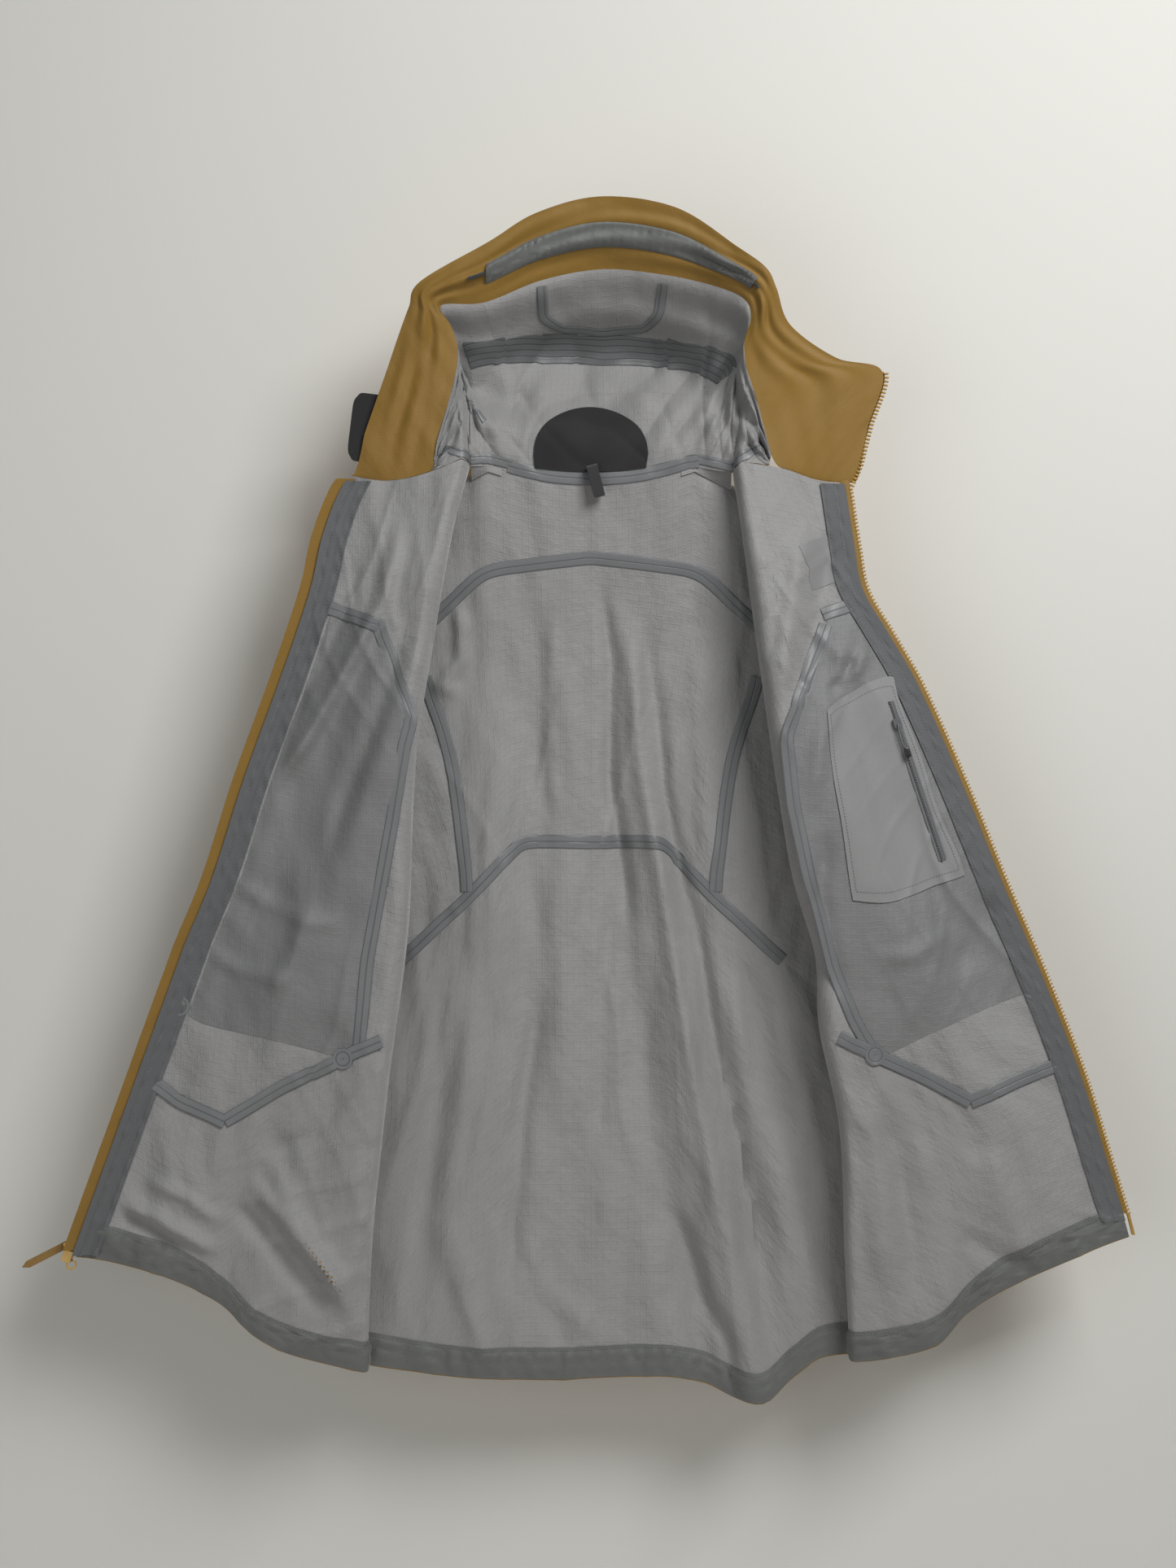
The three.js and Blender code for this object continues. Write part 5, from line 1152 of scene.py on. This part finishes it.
def build_hood():
    """Facings, hood sides, collar back and crown, then what is sewn and bonded to them."""
    ks = np.linspace(0, 1, 30)
    for name, first, last in (("right_collar_facing", 0, BRIM_MARKS[0]),
                              ("hood_brim", *BRIM_MARKS),
                              ("left_collar_facing", BRIM_MARKS[1], LAST_MARK)):
        grid = band(facing_point, first, last, ks)
        sheet_piece(f"{name}_cloth", grid, ("outside",), node=name)
    deep = np.linspace(0, 1, 60)
    # Hood sides, collar back and crown take the darker backer colour, which is painted shade under the brim.
    for name, first, last in (("right", 0.6, CROWN_MARKS[0]), ("left", CROWN_MARKS[1], 16.4)):
        grid = band(lining_point, first, last, deep)
        sheet_piece(f"{name}_hood_side_cloth", grid, ("shaded_lining", "outside"),
                    node=f"{name}_hood_side_panel")
    for name, heights in (("collar_back", deep[deep <= COLLAR_TOP + 0.02]),
                          ("hood_crown", np.linspace(COLLAR_TOP, 1, 40))):
        grid = band(lining_point, *CROWN_MARKS, heights)
        sheet_piece(f"{name}_cloth", grid, ("shaded_lining", "outside"), node=f"{name}_panel")
    build_gussets()
    build_hood_trims()


def build_gussets():
    """Small triangles of lining beside the neck, from its seam down to the top of the back."""
    for (side, half), reach in zip(HALVES, (99, 115)):
        x = half.sign * np.linspace(74, reach, 16)[:, None]
        v = np.linspace(0, 1, 10)[None]
        top = neck_point(x[:, 0]) + [0, 0, 1.5]
        low = -shoulder(np.abs(x[:, 0])) - 5
        foot = np.stack([x[:, 0], back_y(x[:, 0], low) - 1.6, low], -1)
        grid = lerp(top[:, None], foot[:, None], v[..., None])
        # The gussets take the hood's darker backer colour, which is painted shade.
        sheet_piece(f"{side}_neck_gusset", grid, ("shaded_lining",), 0.6)


def build_hood_trims():
    """The cord tunnel, the brim cord and the bands of tape in the hood."""
    marks = np.linspace(*CROWN_MARKS, 110)[:, None]
    k = np.linspace(-1, 1, 21)[None]
    pucker = (0.5 * np.sin(marks * 47) + 0.4 * np.sin(marks * 83 + 4 * k)) * bell(np.abs(k) - 0.55, 0.4)
    grid = facing_point(marks, 0.46 + 0.17 * k)
    grid[..., 1] -= 0.9 + 3.4 * (1 - k**2) ** 0.6 + pucker
    sheet_piece("brim_cord_tunnel_cloth", grid, ("facing",), 0.5,
                node="brim_cord_tunnel")
    path = facing_point(np.linspace(5.7, 11.3, 90), 0.46)
    path[:, 1] -= 2.3
    cord = swept("brim_cord", path, round_profile(sizes().cord, sizes().cord), [finish_of("webbing")])
    keep(cord, "jacket", "hood_brim_cord")
    # The hood band takes the darker wide tape, which is partly its own tone and partly painted shade.
    for name, line, width, material, lift in (
            ("hood_band_tape", [(5.3, 0.73), (6, 0.765), (7, 0.71), (8, 0.67), (9, 0.675), (10, 0.665),
                                (11, 0.63), (11.7, 0.63)], 25, "shaded_dark_tape", 0.9),
            ("hood_u_tape", [(7.0, 0.97), (7.0, 0.84), (7.3, 0.785), (8, 0.75), (8.75, 0.77), (9.0, 0.83),
                             (9.0, 0.96)], 8, "tape", 1.1),
            ("neck_tape", [(5.4, 0.035), (7, 0.02), (9, 0.02), (11.6, 0.035)], 11, "tape", 0.9),
            ("right_dart_tape", [(5.0, 0.3), (4.0, 0.5), (3.2, 0.8)], 5, "tape", 0.9),
            ("right_collar_tape", [(0.75, 0.5), (2.2, 0.06), (4.4, 0.05), (5.6, 0.05)], 8, "tape", 0.9),
            ("left_collar_tape", [(11.4, 0.05), (12.6, 0.05), (14.8, 0.06), (16.2, 0.5)], 8, "tape", 0.9)):
        keep(tape_sheet(name, strip_on(lining_point, line, width, lift, 3.0, 9, 0.25), material))


def seam_line(line_of, low, high, count=60):
    """The (x, z) points of a seam that is the same on both halves of the back."""
    x = np.linspace(low, high, count)
    return np.stack([x, -line_of(np.abs(x))], -1)


def tape_piece(name, surface, line, width=None, lift=0.8, material="tape", node=None, columns=9):
    width = sizes().tape_width if width is None else width
    grid = strip_on(surface, line, width, lift, 3.0, columns, 0.22)
    keep(tape_sheet(name, grid, material), "jacket", node or ())


def build_tapes():
    """Bonded tapes on the seams of the back and of both fronts."""
    tape_piece("yoke_tape", back_surface, seam_line(yoke_line, -180, 180), node="yoke_seam_tape")
    tape_piece("waist_tape", back_surface, seam_line(waist_line, -160, 160), node="waist_seam_tape")
    drop = np.linspace(152, 352, 50)
    for side, half in HALVES:
        line = np.stack([half.sign * princess_line(drop), -drop], -1)
        tape_piece(f"{side}_side_tape", back_surface, line[3:-2], lift=1.15, node=f"{side}_princess_tape")
    right, left = front_surface(RIGHT), front_surface(LEFT)
    for name, surface, line in (
            ("right_chest_tape", right, [(-214, -110), (-206, -113), (-190, -119), (-172, -126)]),
            ("right_front_tape", right, [(-174, -123), (-145, -201), (-151, -223), (-161, -285),
                                         (-172, -345), (-182, -399), (-188, -466)]),
            ("left_chest_tape", left, [(189, -116), (196, -113), (206, -110), (213, -107)]),
            ("left_front_tape", left, [(191, -124), (173, -171), (157, -214), (163, -271), (176, -332),
                                       (196, -405), (213, -446), (228, -472)]),
            ("right_low_outer_tape", right, [(-358, -500), (-337, -515), (-310, -525), (-299, -530)]),
            ("right_low_inner_tape", right, [(-299, -529), (-251, -500), (-210, -481), (-194, -472),
                                             (-170, -462)]),
            ("left_low_inner_tape", left, [(200, -459), (230, -474), (272, -493), (309, -513)]),
            ("left_low_outer_tape", left, [(309, -513), (345, -498), (385, -483), (392, -480)])):
        tape_piece(name, surface, line, lift=1.7 if "low" in name else 1.35)


def round_patch(name, surface, centre, radius, lift, material):
    """A round patch: rings of points about its centre, laid on the cloth."""
    turn, r = np.meshgrid(np.linspace(0, 2 * np.pi, 40, endpoint=False), np.linspace(0.02, 1, 6) * radius,
                          indexing="ij")
    grid = surface(centre[0] + r * np.cos(turn), centre[1] + r * np.sin(turn))
    grid[..., 1] -= lift
    keep(tape_sheet(name, grid, material, ring=True))


def region(surface, left, right, top, bottom, lift, columns=60, rows=90, puff=0.3, seed=0):
    """A patch of cloth between four outlines, lifted off a surface and puffed by slow waves that
    fade out at its edges."""
    x, z = between(left, right, top, bottom, columns, rows)
    grid = surface(x, z)
    u, v = np.meshgrid(np.linspace(0, 1, columns), np.linspace(0, 1, rows), indexing="ij")
    inside = np.minimum.reduce([u, 1 - u, v, 1 - v])
    soft = ease(0, 0.1, inside)
    waves = (1.6 + 0.6 * np.sin(x / 9 + z / 21 + seed) + 0.5 * np.sin(x / 23 - z / 13 + 2 * seed)
             + 0.5 * np.sin(z / 8 + x / 31))
    grid[..., 1] -= lift + soft * (0.2 + puff * waves)
    return grid


def build_pockets():
    """Bags of the hand pockets, each within its own outline, the bar patches, the inner pocket
    and the three small zips."""
    right, left = front_surface(RIGHT), front_surface(LEFT)
    r_in = curve([(100, -160), (123, -170), (201, -146), (285, -162), (345, -173), (399, -183), (466, -189),
                  (500, -190)])
    r_out = lambda drop: -(RIGHT.edge(drop) - 32)
    r_top = curve([(-300, 92), (-222, 107), (-212, 111), (-169, 127), (-140, 138)])
    r_low = curve([(-345, 437), (-338, 440), (-317, 451), (-260, 462), (-210, 474), (-180, 479)])
    grid = region(right, r_out, r_in, r_top, r_low, 0.62, puff=0.75, seed=1)
    sheet_piece("right_pocket_bag", grid, ("bag",), 0.4)
    l_in = curve([(100, 196), (124, 191), (171, 173), (214, 157), (271, 163), (332, 176), (405, 196),
                  (446, 213), (480, 230)])
    l_out = lambda drop: LEFT.edge(drop) - 28
    l_top = curve([(150, 118), (209, 109), (229, 102), (260, 98)])
    l_low = curve([(180, 480), (239, 473), (275, 457), (314, 441), (361, 424), (400, 412)])
    grid = region(left, l_in, l_out, l_top, l_low, 0.62, seed=3)
    sheet_piece("left_pocket_bag", grid, ("bag",), 0.4)
    for n, (surface, x, z) in enumerate(((right, -202, -477), (right, -338, -436), (left, 230, -474),
                                         (left, 362, -422)), 1):
        round_patch(f"bar_patch_{n}", surface, (x, z), 8.3, 2.0, "tape")
    tape_piece("inner_pocket_backing", left, [(183, -54), (189, -72), (196, -90)], 34, 0.75, "pocket",
               columns=15)
    # inner pocket
    p_left = curve([(160, 186), (192, 190), (240, 194), (287, 202), (336, 209), (352, 212)])
    p_right = curve([(160, 246), (184, 251), (230, 269), (274, 283), (312, 300), (336, 308)])
    p_top = curve([(184, 203), (196, 189), (214, 178), (226, 171), (242, 166), (252, 168)])
    p_low = curve([(205, 346), (211, 348), (239, 350), (262, 344), (283, 336), (304, 329), (315, 322)])
    grid = region(left, p_left, p_right, p_top, p_low, 2.45, 50, 70, puff=0.25, seed=5)
    sheet_piece("inner_pocket_cloth", grid, ("pocket",), 0.6,
                node="inner_pocket_panel")
    edge = np.concatenate([grid[2:-2, 3], grid[-3, 3:-3], grid[2:-2, -4][::-1], grid[2, 3:-3][::-1]])
    keep(stitches("inner_pocket_stitches", edge - [0, 0.55, 0], 2.6, 0.55, finish_of("thread")))
    small_zip("inner_pocket", "grey", -1)
    for side, _ in HALVES:
        small_zip(f"{side}_hand_pocket", "gold", 1)


def solid_axes(node):
    """Centre, three axes (longest first, pointing down) and half sizes of a bar-like solid."""
    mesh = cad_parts[node].data
    flat = np.empty(len(mesh.vertices) * 3, np.float32)
    mesh.vertices.foreach_get("co", flat)
    p = flat.reshape(-1, 3).astype(float) / MM
    middle = p.mean(0)
    axes = np.linalg.svd(p - middle, full_matrices=False)[2]
    if axes[0, 2] > 0:
        axes[0] = -axes[0]
    axes[2] = np.cross(axes[0], axes[1])
    along = (p - middle) @ axes.T
    low, high = along.min(0), along.max(0)
    return middle + ((low + high) / 2) @ axes, axes, (high - low) / 2


def wide_axis(axes, half):
    """The wider of a solid's two short axes, and its half size."""
    return (axes[1], half[1]) if half[1] > half[2] else (axes[2], half[2])


def small_zip(prefix, tone, face):
    """Coil, slider and pull of a pocket zip, set where the solids stand. face is the side of the
    cloth, -1 or 1, that the zip shows on."""
    centre, axes, half = solid_axes(f"{prefix}_zip_coil")
    across_ = axes[1] if abs(axes[1, 1]) < abs(axes[2, 1]) else axes[2]
    out = np.cross(axes[0], across_)
    if out[1] * face < 0:
        out = -out
    path = centre + axes[0] * np.linspace(-half[0] + 1, half[0] - 1, 60)[:, None]
    teeth = spaced(path + out * 0.35, 1.35)
    ones = np.ones((len(teeth), 1))
    coil = repeated(f"{prefix}_coil", teeth, ones * (across_ + 0.22 * axes[0]), ones * axes[0], ones * out,
                    (1.45, 0.5, 0.55), [finish_of(f"{tone}_coil")], 2.6)
    keep(coil, "jacket", f"{prefix}_zip_coil")
    tape_grid = (path[:, None] + across_ * np.linspace(-3.4, 3.4, 9)[None, :, None] - out * 0.42)
    tape = cloth_sheet(f"{prefix}_zip_tape_cloth", tape_grid, 0.4, 1,
                       [finish_of("tape" if tone == "grey" else "outside")])
    keep(tape)
    frame_slot(f"{prefix}_zip_slider", f"{tone}_metal")
    centre, axes, half = solid_axes(f"{prefix}_zip_pull")
    wide, width = wide_axis(axes, half)
    top = centre - axes[0] * (half[0] - 1.5)
    end = centre + axes[0] * half[0]
    t = np.linspace(0, 1, 40)
    for n, shift in enumerate((-1, 1), 1):
        bow = np.sin(np.pi * t) ** 0.8 * width * 0.62 * shift
        strand = lerp(top, end - axes[0] * 4, t[:, None]) + wide * bow[:, None]
        cord = swept(f"{prefix}_pull_strand_{n}", strand, round_profile(1.3, 1.3, count=12),
                     [finish_of(f"{tone}_cord")])
        keep(cord, f"{prefix}_pull", f"{prefix}_zip_pull" if n == 1 else ())
    material = finish_of("black_plastic" if tone == "grey" else "gold_webbing")
    grip = swept(f"{prefix}_pull_grip", lerp(end - axes[0] * 8, end, np.linspace(0, 1, 14)[:, None]),
                 round_profile(2 * width * 0.92, 1.9, 3.2), [material],
                 1 - 0.35 * np.abs(np.linspace(-1, 1, 14)) ** 6)
    keep(grip, f"{prefix}_pull")


def frame_slot(node, material):
    """Gives a shown solid its detailed material."""
    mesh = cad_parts[node].data
    if not mesh.materials:
        mesh.materials.append(finish_of(material))
    for i in range(len(mesh.materials)):
        mesh.materials[i] = finish_of(material)


def build_hem():
    """The doubled hem: a band on the inside face, measured up from the hem along the cloth, that
    puckers between its stitches."""
    b = body()
    reach = np.array([0.2, 2, 5, 8, 11, 14, 17, 20, 22, 23.5, 24.5, 26]) / 26 * sizes().facing_width
    rows = b.rows(2, 3)

    def half_band(half):
        grid = b.grid[half][:, rows]
        size = np.linalg.norm(np.diff(grid, axis=1), axis=-1).sum(1)
        at = (len(rows) - 1) * (1 - reach[None] / size[:, None])
        low = np.minimum(np.floor(at).astype(int), len(rows) - 2)
        k = (at - low)[..., None]
        i = np.arange(len(grid))[:, None]
        return grid[i, low] * (1 - k) + grid[i, low + 1] * k
    right, left = half_band(RIGHT), half_band(LEFT)
    grid = np.concatenate([right, left[::-1][1:]])
    normals = cross_normals(grid)
    run = arc_uv(grid)[..., 0] / MM
    pucker = (0.65 + 0.4 * np.sin(run / 1.9) + 0.25 * np.sin(run / 3.3 + 1)) * bell(reach[None] - 19, 3.2)
    pucker += 0.4 * (1 + np.sin(run / 2.6 + 2)) * bell(reach[None] - 9, 5)
    lift = 0.85 + 0.5 * np.sin(np.pi * clamp(reach / 26, 0, 1))[None] + pucker * sizes().fold_depth
    grid = grid + normals * lift[..., None]
    sheet_piece("hem_facing_cloth", grid, ("facing",), 0.4, 1, node="hem_facing")
    edge = np.concatenate([b.grid[RIGHT][:, -1], b.grid[LEFT][::-1][1:, -1]])
    keep(swept("hem_edge", edge, round_profile(1.5, 1.9, count=10), [finish_of("outside")]))
    line = grid[:, 9] + normals[:, 9] * 0.5
    keep(stitches("hem_stitches", line, 2.8, 0.8, finish_of("thread")))


def edge_point(half, drop, inset, y):
    """A place at a drop, set in from a front's zip edge, at a depth."""
    return np.stack(np.broadcast_arrays(half.sign * (half.edge(drop) - inset), y,
                                        -np.asarray(drop, float)), -1)


def placket_grid(half, top, bottom, profile, count=260, wave=0.0):
    """A strip down a front edge. Each line of the profile is an inset from the edge and a lift
    off the front panel."""
    drop = np.linspace(top, bottom, count)
    fine = np.linspace(0, 1, 25)
    stations = np.linspace(0, 1, len(profile))
    inset = np.interp(fine, stations, [p[0] for p in profile])
    lift = np.interp(fine, stations, [p[1] for p in profile])
    d, i = np.meshgrid(drop, inset, indexing="ij")
    held = clamp(d, SEAM_TOP, SEAM_FOOT)
    x_on = half.sign * (half.edge(held) - np.maximum(i, half.inset + 0.5))
    y = front_y(half, x_on, -held) - lift[None]
    rows = (0.34 * np.sin(d / 2.3) + 0.3 * np.sin(d / 3.9 + 1)) * (bell(fine[None] - 0.12, 0.08)
                                                                   + bell(fine[None] - 0.62, 0.08))
    return np.stack([half.sign * (half.edge(d) - i), y - rows * wave * sizes().fold_depth, -d], -1)


def placket_stitches(side, grid, columns):
    for n, column in enumerate(columns, 1):
        keep(stitches(f"{side}_placket_stitches_{n}", grid[:, column] - [0, 0.45, 0], 3.0, 0.6,
                      finish_of("thread")))


def chain_teeth(name, path, node):
    """Moulded teeth set at the tooth pitch along a chain's centre line."""
    centres = spaced(path, sizes().tooth_pitch)
    t = tangents(centres)
    depth = np.broadcast_to([0.0, 1.0, 0.0], t.shape)
    wide = unit(np.cross(t, depth))
    piece = repeated(name, centres, wide, t, np.cross(wide, t), (2.15, 0.95, 1.55),
                     [finish_of("teeth")], 3.4)
    keep(piece, "jacket", node)


RIGHT_CHAIN, CHAIN_DEPTH = 4.4, -2.6  # inset of the right chain from its edge, and its depth


def build_front_zip():
    build_right_zip()
    build_left_zip()
    build_zip_metal()


def build_right_zip():
    """The doubled gold edge of the right front, its placket, tape and teeth."""
    t = np.linspace(0, 1, 200)
    drop = lerp(4, 636, np.linspace(0, 1, 260))
    fine = np.linspace(0, 1, 15)
    inset = np.interp(fine, [0, 0.5, 1], [15, 9, 0])
    y = np.interp(fine, [0, 0.5, 1], [-7.8, -10.2, -10.8])
    d, i = np.meshgrid(drop, inset, indexing="ij")
    wave = (0.5 * np.sin(d / 17) + 0.35 * np.sin(d / 7.3 + 1)) * ease(0.3, 0.8, fine)[None]
    grid = np.stack([-(RIGHT.edge(d) - i), y[None] - wave * 0.5, -d], -1)
    sheet_piece("right_zip_flap_cloth", grid, ("outside",), 0.9, node="right_zip_flap")
    grid = placket_grid(RIGHT, 6, 640, [(30, 1.5), (21.6, 2.1), (15, 4.9), (9.3, 6.7)], wave=1)
    sheet_piece("right_zip_placket_cloth", grid, ("zip_tape",), 0.5,
                node="right_zip_placket")
    placket_stitches("right", grid, (3, 14))
    d = lerp(4, 636, t)
    chain_teeth("right_teeth", edge_point(RIGHT, d, RIGHT_CHAIN, CHAIN_DEPTH), "right_zip_teeth")
    held = clamp(d, SEAM_TOP, SEAM_FOOT)
    start = RIGHT_CHAIN + 2.2 + 0.3
    sewn_y = front_y(RIGHT, -(RIGHT.edge(held) - start - 11), -held) + 1.4
    tape = np.stack([edge_point(RIGHT, d, start + inset, y) for inset, y in (
        (11, sewn_y), (5, sewn_y * 0.5 - 1.0), (2.6, CHAIN_DEPTH), (-1.4, CHAIN_DEPTH))], 1)
    sheet_piece("right_zip_tape_cloth", tape, ("zip_tape",), 0.5, node="right_zip_tape")


def build_left_zip():
    """The left placket, its gold tape, and the teeth down to the pin and up the collar."""
    grid = placket_grid(LEFT, 8, 612, [(27, 2.0), (16.5, 2.2), (6.5, 2.0)], wave=0.7)
    sheet_piece("left_zip_placket_cloth", grid, ("zip_tape",), 0.5,
                node="left_zip_placket")
    placket_stitches("left", grid, (3, 13))
    down = edge_point(LEFT, lerp(606, 12, np.linspace(0, 1, 200)), 2.2, -6.0)
    mark = np.linspace(16.7, 15.06, 40)
    up = rim_point(mark) + [2.7, 0, 0]
    path = np.concatenate([down, up])
    chain_teeth("left_teeth", path, "left_zip_teeth")
    d = lerp(5, 606, np.linspace(0, 1, 220))[:, None]
    i = np.linspace(10, 2.4, 7)[None]
    grid = np.stack([LEFT.edge(d) - i, -6.3 + 0 * d - 1.1 * np.sin(np.pi * (i - 2.4) / 9), -d + 0 * i], -1)
    sheet_piece("left_zip_tape_cloth", grid, ("outside",), 0.5)
    m = np.linspace(15.0, 16.9, 60)[:, None]
    grid = rim_point(m + 0 * i[:, :5]) + np.stack(np.broadcast_arrays(
        lerp(-7.0, 1.4, np.linspace(0, 1, 5))[None] + 0 * m, 1.0, 0), -1)
    sheet_piece("collar_zip_tape_cloth", grid, ("outside",), 0.5)


def build_zip_metal():
    """Pins, sliders and metal pulls in their materials, and the strap whose end is rounded."""
    for node in ("zip_insertion_pin", "zip_retaining_pin"):
        frame_slot(node, "teeth")
    for node in ("lower_zip_slider", "upper_zip_slider", "upper_slider_pull", "lower_slider_pull"):
        frame_slot(node, "gold_metal")
    centre, axes, half = solid_axes("zip_pull_strap")
    wide, width = wide_axis(axes, half)
    k = np.linspace(-1, 1, 60)
    path = centre + axes[0] * k[:, None] * half[0]
    taper = 1 - ease(0.72, 1.0, k) * 0.75
    u = np.linspace(-1, 1, 9)
    grid = path[:, None] + wide * (u[None] * taper[:, None] * width)[..., None]
    strap = cloth_sheet("zip_strap", grid, 1.3, 1, [finish_of("gold_webbing")])
    keep(strap, "pull_strap", "zip_pull_strap")


def build_trims():
    """Label, chin guard, hang loop and the rear cord lock."""
    u = np.linspace(-0.985, 0.985, 49)[:, None]
    v = np.linspace(0, 1, 17)[None]
    height = 0.3 * np.sqrt(1 - u**2) + 0.02
    grid = lining_point(7.85 + 1.3 * u, 0.05 + height * v)
    grid[..., 1] -= 1.9
    grid[..., 1] = np.minimum(grid[..., 1], grid[..., 1].mean() + 6)
    sheet_piece("neck_label_cloth", grid, ("knit",), 0.8, node="neck_label")
    centre, _, _ = solid_axes("chin_guard")
    guard = rounded_plate(centre, (1, 0, -0.12), (0.12, 0, 1), 30, 56, corner=0.2)
    sheet_piece("chin_guard_cloth", guard, ("knit",), 1.5, node="chin_guard")
    lean, radius, straight = 0.25, 3.15, 9.7
    up = np.array([-math.sin(lean), 0, math.cos(lean)])
    side = np.array([math.cos(lean), 0, math.sin(lean)])
    centre = np.array([0, -1.1 - 2.5 - 1.3, 8.0]) - up * 13.5
    turn = np.linspace(0, 2 * np.pi, 72, endpoint=False)
    high = straight * np.clip(np.sin(turn) * 3, -1, 1) + radius * np.sin(turn)
    deep = radius * np.sign(np.cos(turn)) * np.abs(np.cos(turn)) ** 0.6
    ring = centre + high[:, None] * up + deep[:, None] * np.array([0, 1.0, 0])
    grid = ring[:, None] + side * np.linspace(-4.5, 4.5, 9)[None, :, None]
    piece = cloth_sheet("hang_loop_webbing", grid, 1.2, outward(grid), [finish_of("webbing")], ring=True)
    keep(piece, "jacket", "hang_loop")
    for node in ("hood_cord_lock", "hood_cord_lock_button"):
        frame_slot(node, "black_plastic")


# ---------------------------------------------------------------- stage
def plain_box(name, low, high, material):
    low, high = np.asarray(low, float), np.asarray(high, float)
    pick = np.array([[0, 0, 0], [1, 0, 0], [1, 1, 0], [0, 1, 0], [0, 0, 1], [1, 0, 1], [1, 1, 1], [0, 1, 1]])
    points = (low + (high - low) * pick) / MM
    quads = np.array([[0, 3, 2, 1], [4, 5, 6, 7], [0, 1, 5, 4], [1, 2, 6, 5], [2, 3, 7, 6], [3, 0, 4, 7]])
    return make(name, points, quads, materials=[material], sharp=30)


def area_light(name, place, target, side, watts):
    data = bpy.data.lights.new(name, "AREA")
    data.shape, data.size, data.size_y = "RECTANGLE", side, side
    data.energy = watts
    lamp = bpy.data.objects.new(name, data)
    lamp.location = place
    lamp.rotation_euler = (Vector(target) - Vector(place)).to_track_quat("-Z", "Y").to_euler()
    bpy.context.scene.collection.objects.link(lamp)
    return lamp


WALL_X, WALL_Y, WALL_Z = (-750, 750), 118, (-1000, 750)  # millimetres
LAMPS = (  # name, place and target in metres, side in metres, watts
    ("key", (0.85, -1.45, 0.95), (0, 0, -0.25), 0.9, 44),
    ("fill", (-0.9, -1.7, -0.5), (0, 0, -0.35), 1.2, 8),
    ("back", (0.3, 1.9, 1.0), (0, 0, -0.2), 1.2, 52))
ROOM_TONE, ROOM_STRENGTH = (0.95, 0.97, 1.0, 1), 0.15
CAMERA_PLACE, CAMERA_LENS, CAMERA_SENSOR = (-0.003, -1.8, -0.254), 50.2, 36


def build_stage():
    """The wall behind the jacket, open to rays from behind, the floor, lamps, room and camera."""
    corners = np.array([[WALL_X[0], WALL_Y, WALL_Z[0]], [WALL_X[1], WALL_Y, WALL_Z[0]],
                        [WALL_X[1], WALL_Y, WALL_Z[1]], [WALL_X[0], WALL_Y, WALL_Z[1]]], float)
    wall = make("wall", corners, np.array([[0, 1, 2, 3]]), materials=[
        stage_material("wall paint", (0.58, 0.574, 0.54), True)], sharp=30)
    wall.visible_shadow = False
    floor = plain_box("floor", (-1.3, -1.2, -1.27), (1.3, 0.95, -1.25),
                      stage_material("floor paint", (0.6, 0.58, 0.55)))
    [area_light(*lamp) for lamp in LAMPS]
    scene = bpy.context.scene
    world = bpy.data.worlds.new("room")
    world.use_nodes = True
    background = world.node_tree.nodes["Background"]
    background.inputs[0].default_value = ROOM_TONE
    background.inputs[1].default_value = ROOM_STRENGTH
    scene.world = world
    scene.view_settings.view_transform = "Standard"
    data = bpy.data.cameras.new("camera")
    data.lens, data.sensor_width = CAMERA_LENS, CAMERA_SENSOR
    camera = bpy.data.objects.new("camera", data)
    camera.location = CAMERA_PLACE
    camera.rotation_euler = (math.radians(90), 0, 0)
    scene.collection.objects.link(camera)
    scene.camera = camera


# ---------------------------------------------------------------- operators and panel
def operator(suffix, label, about, work):
    def execute(self, context):
        work()
        return {"FINISHED"}
    return type(f"JACKET_OT_{suffix}", (bpy.types.Operator,), {
        "bl_idname": f"jacket.{suffix}", "bl_label": label, "__doc__": about, "execute": execute})


OPERATORS = (
    operator("panels", "Body panels", "Adds the draped panels of the body.", build_panels),
    operator("sleeves", "Sleeves", "Adds both sleeves, cuffs and cuff tabs.", build_sleeves),
    operator("hood", "Hood and collar", "Adds facings, linings, tunnel, cord and hood tapes.", build_hood),
    operator("tapes", "Seam tapes", "Adds the bonded tapes on the seams.", build_tapes),
    operator("hem", "Hem", "Adds the doubled hem and its stitches.", build_hem),
    operator("front_zip", "Front zip", "Adds flap, plackets, tapes and teeth.", build_front_zip),
    operator("pockets", "Pockets", "Adds pocket bags, inner pocket and small zips.", build_pockets),
    operator("trims", "Trims", "Adds label, chin guard, hang loop and cord lock.", build_trims),
    operator("stage", "Stage", "Adds wall, floor, lights and camera.", build_stage),
)


class JACKET_PT_panel(bpy.types.Panel):
    """Buttons and sizes of the jacket."""
    bl_label = "Jacket"
    bl_idname = "JACKET_PT_panel"
    bl_space_type = "VIEW_3D"
    bl_region_type = "UI"
    bl_category = "Jacket"

    def draw(self, context):
        for group in (context.scene.jacket_sizes, context.scene.jacket_colours, context.scene.jacket_detail):
            for key in group.__annotations__:
                self.layout.prop(group, key)
        for o in OPERATORS:
            self.layout.operator(o.bl_idname)


CLASSES = (JacketSizes, JacketColours, JacketDetail, *OPERATORS, JACKET_PT_panel)


def register():
    for c in CLASSES:
        bpy.utils.register_class(c)
    bpy.types.Scene.jacket_sizes = PointerProperty(type=JacketSizes)
    bpy.types.Scene.jacket_colours = PointerProperty(type=JacketColours)
    bpy.types.Scene.jacket_detail = PointerProperty(type=JacketDetail)


def unregister():
    del bpy.types.Scene.jacket_sizes, bpy.types.Scene.jacket_colours, bpy.types.Scene.jacket_detail
    for c in reversed(CLASSES):
        bpy.utils.unregister_class(c)


def main():
    register()
    for o in OPERATORS:
        getattr(bpy.ops.jacket, o.bl_idname.split(".")[1])()


if __name__ == "__main__":
    main()
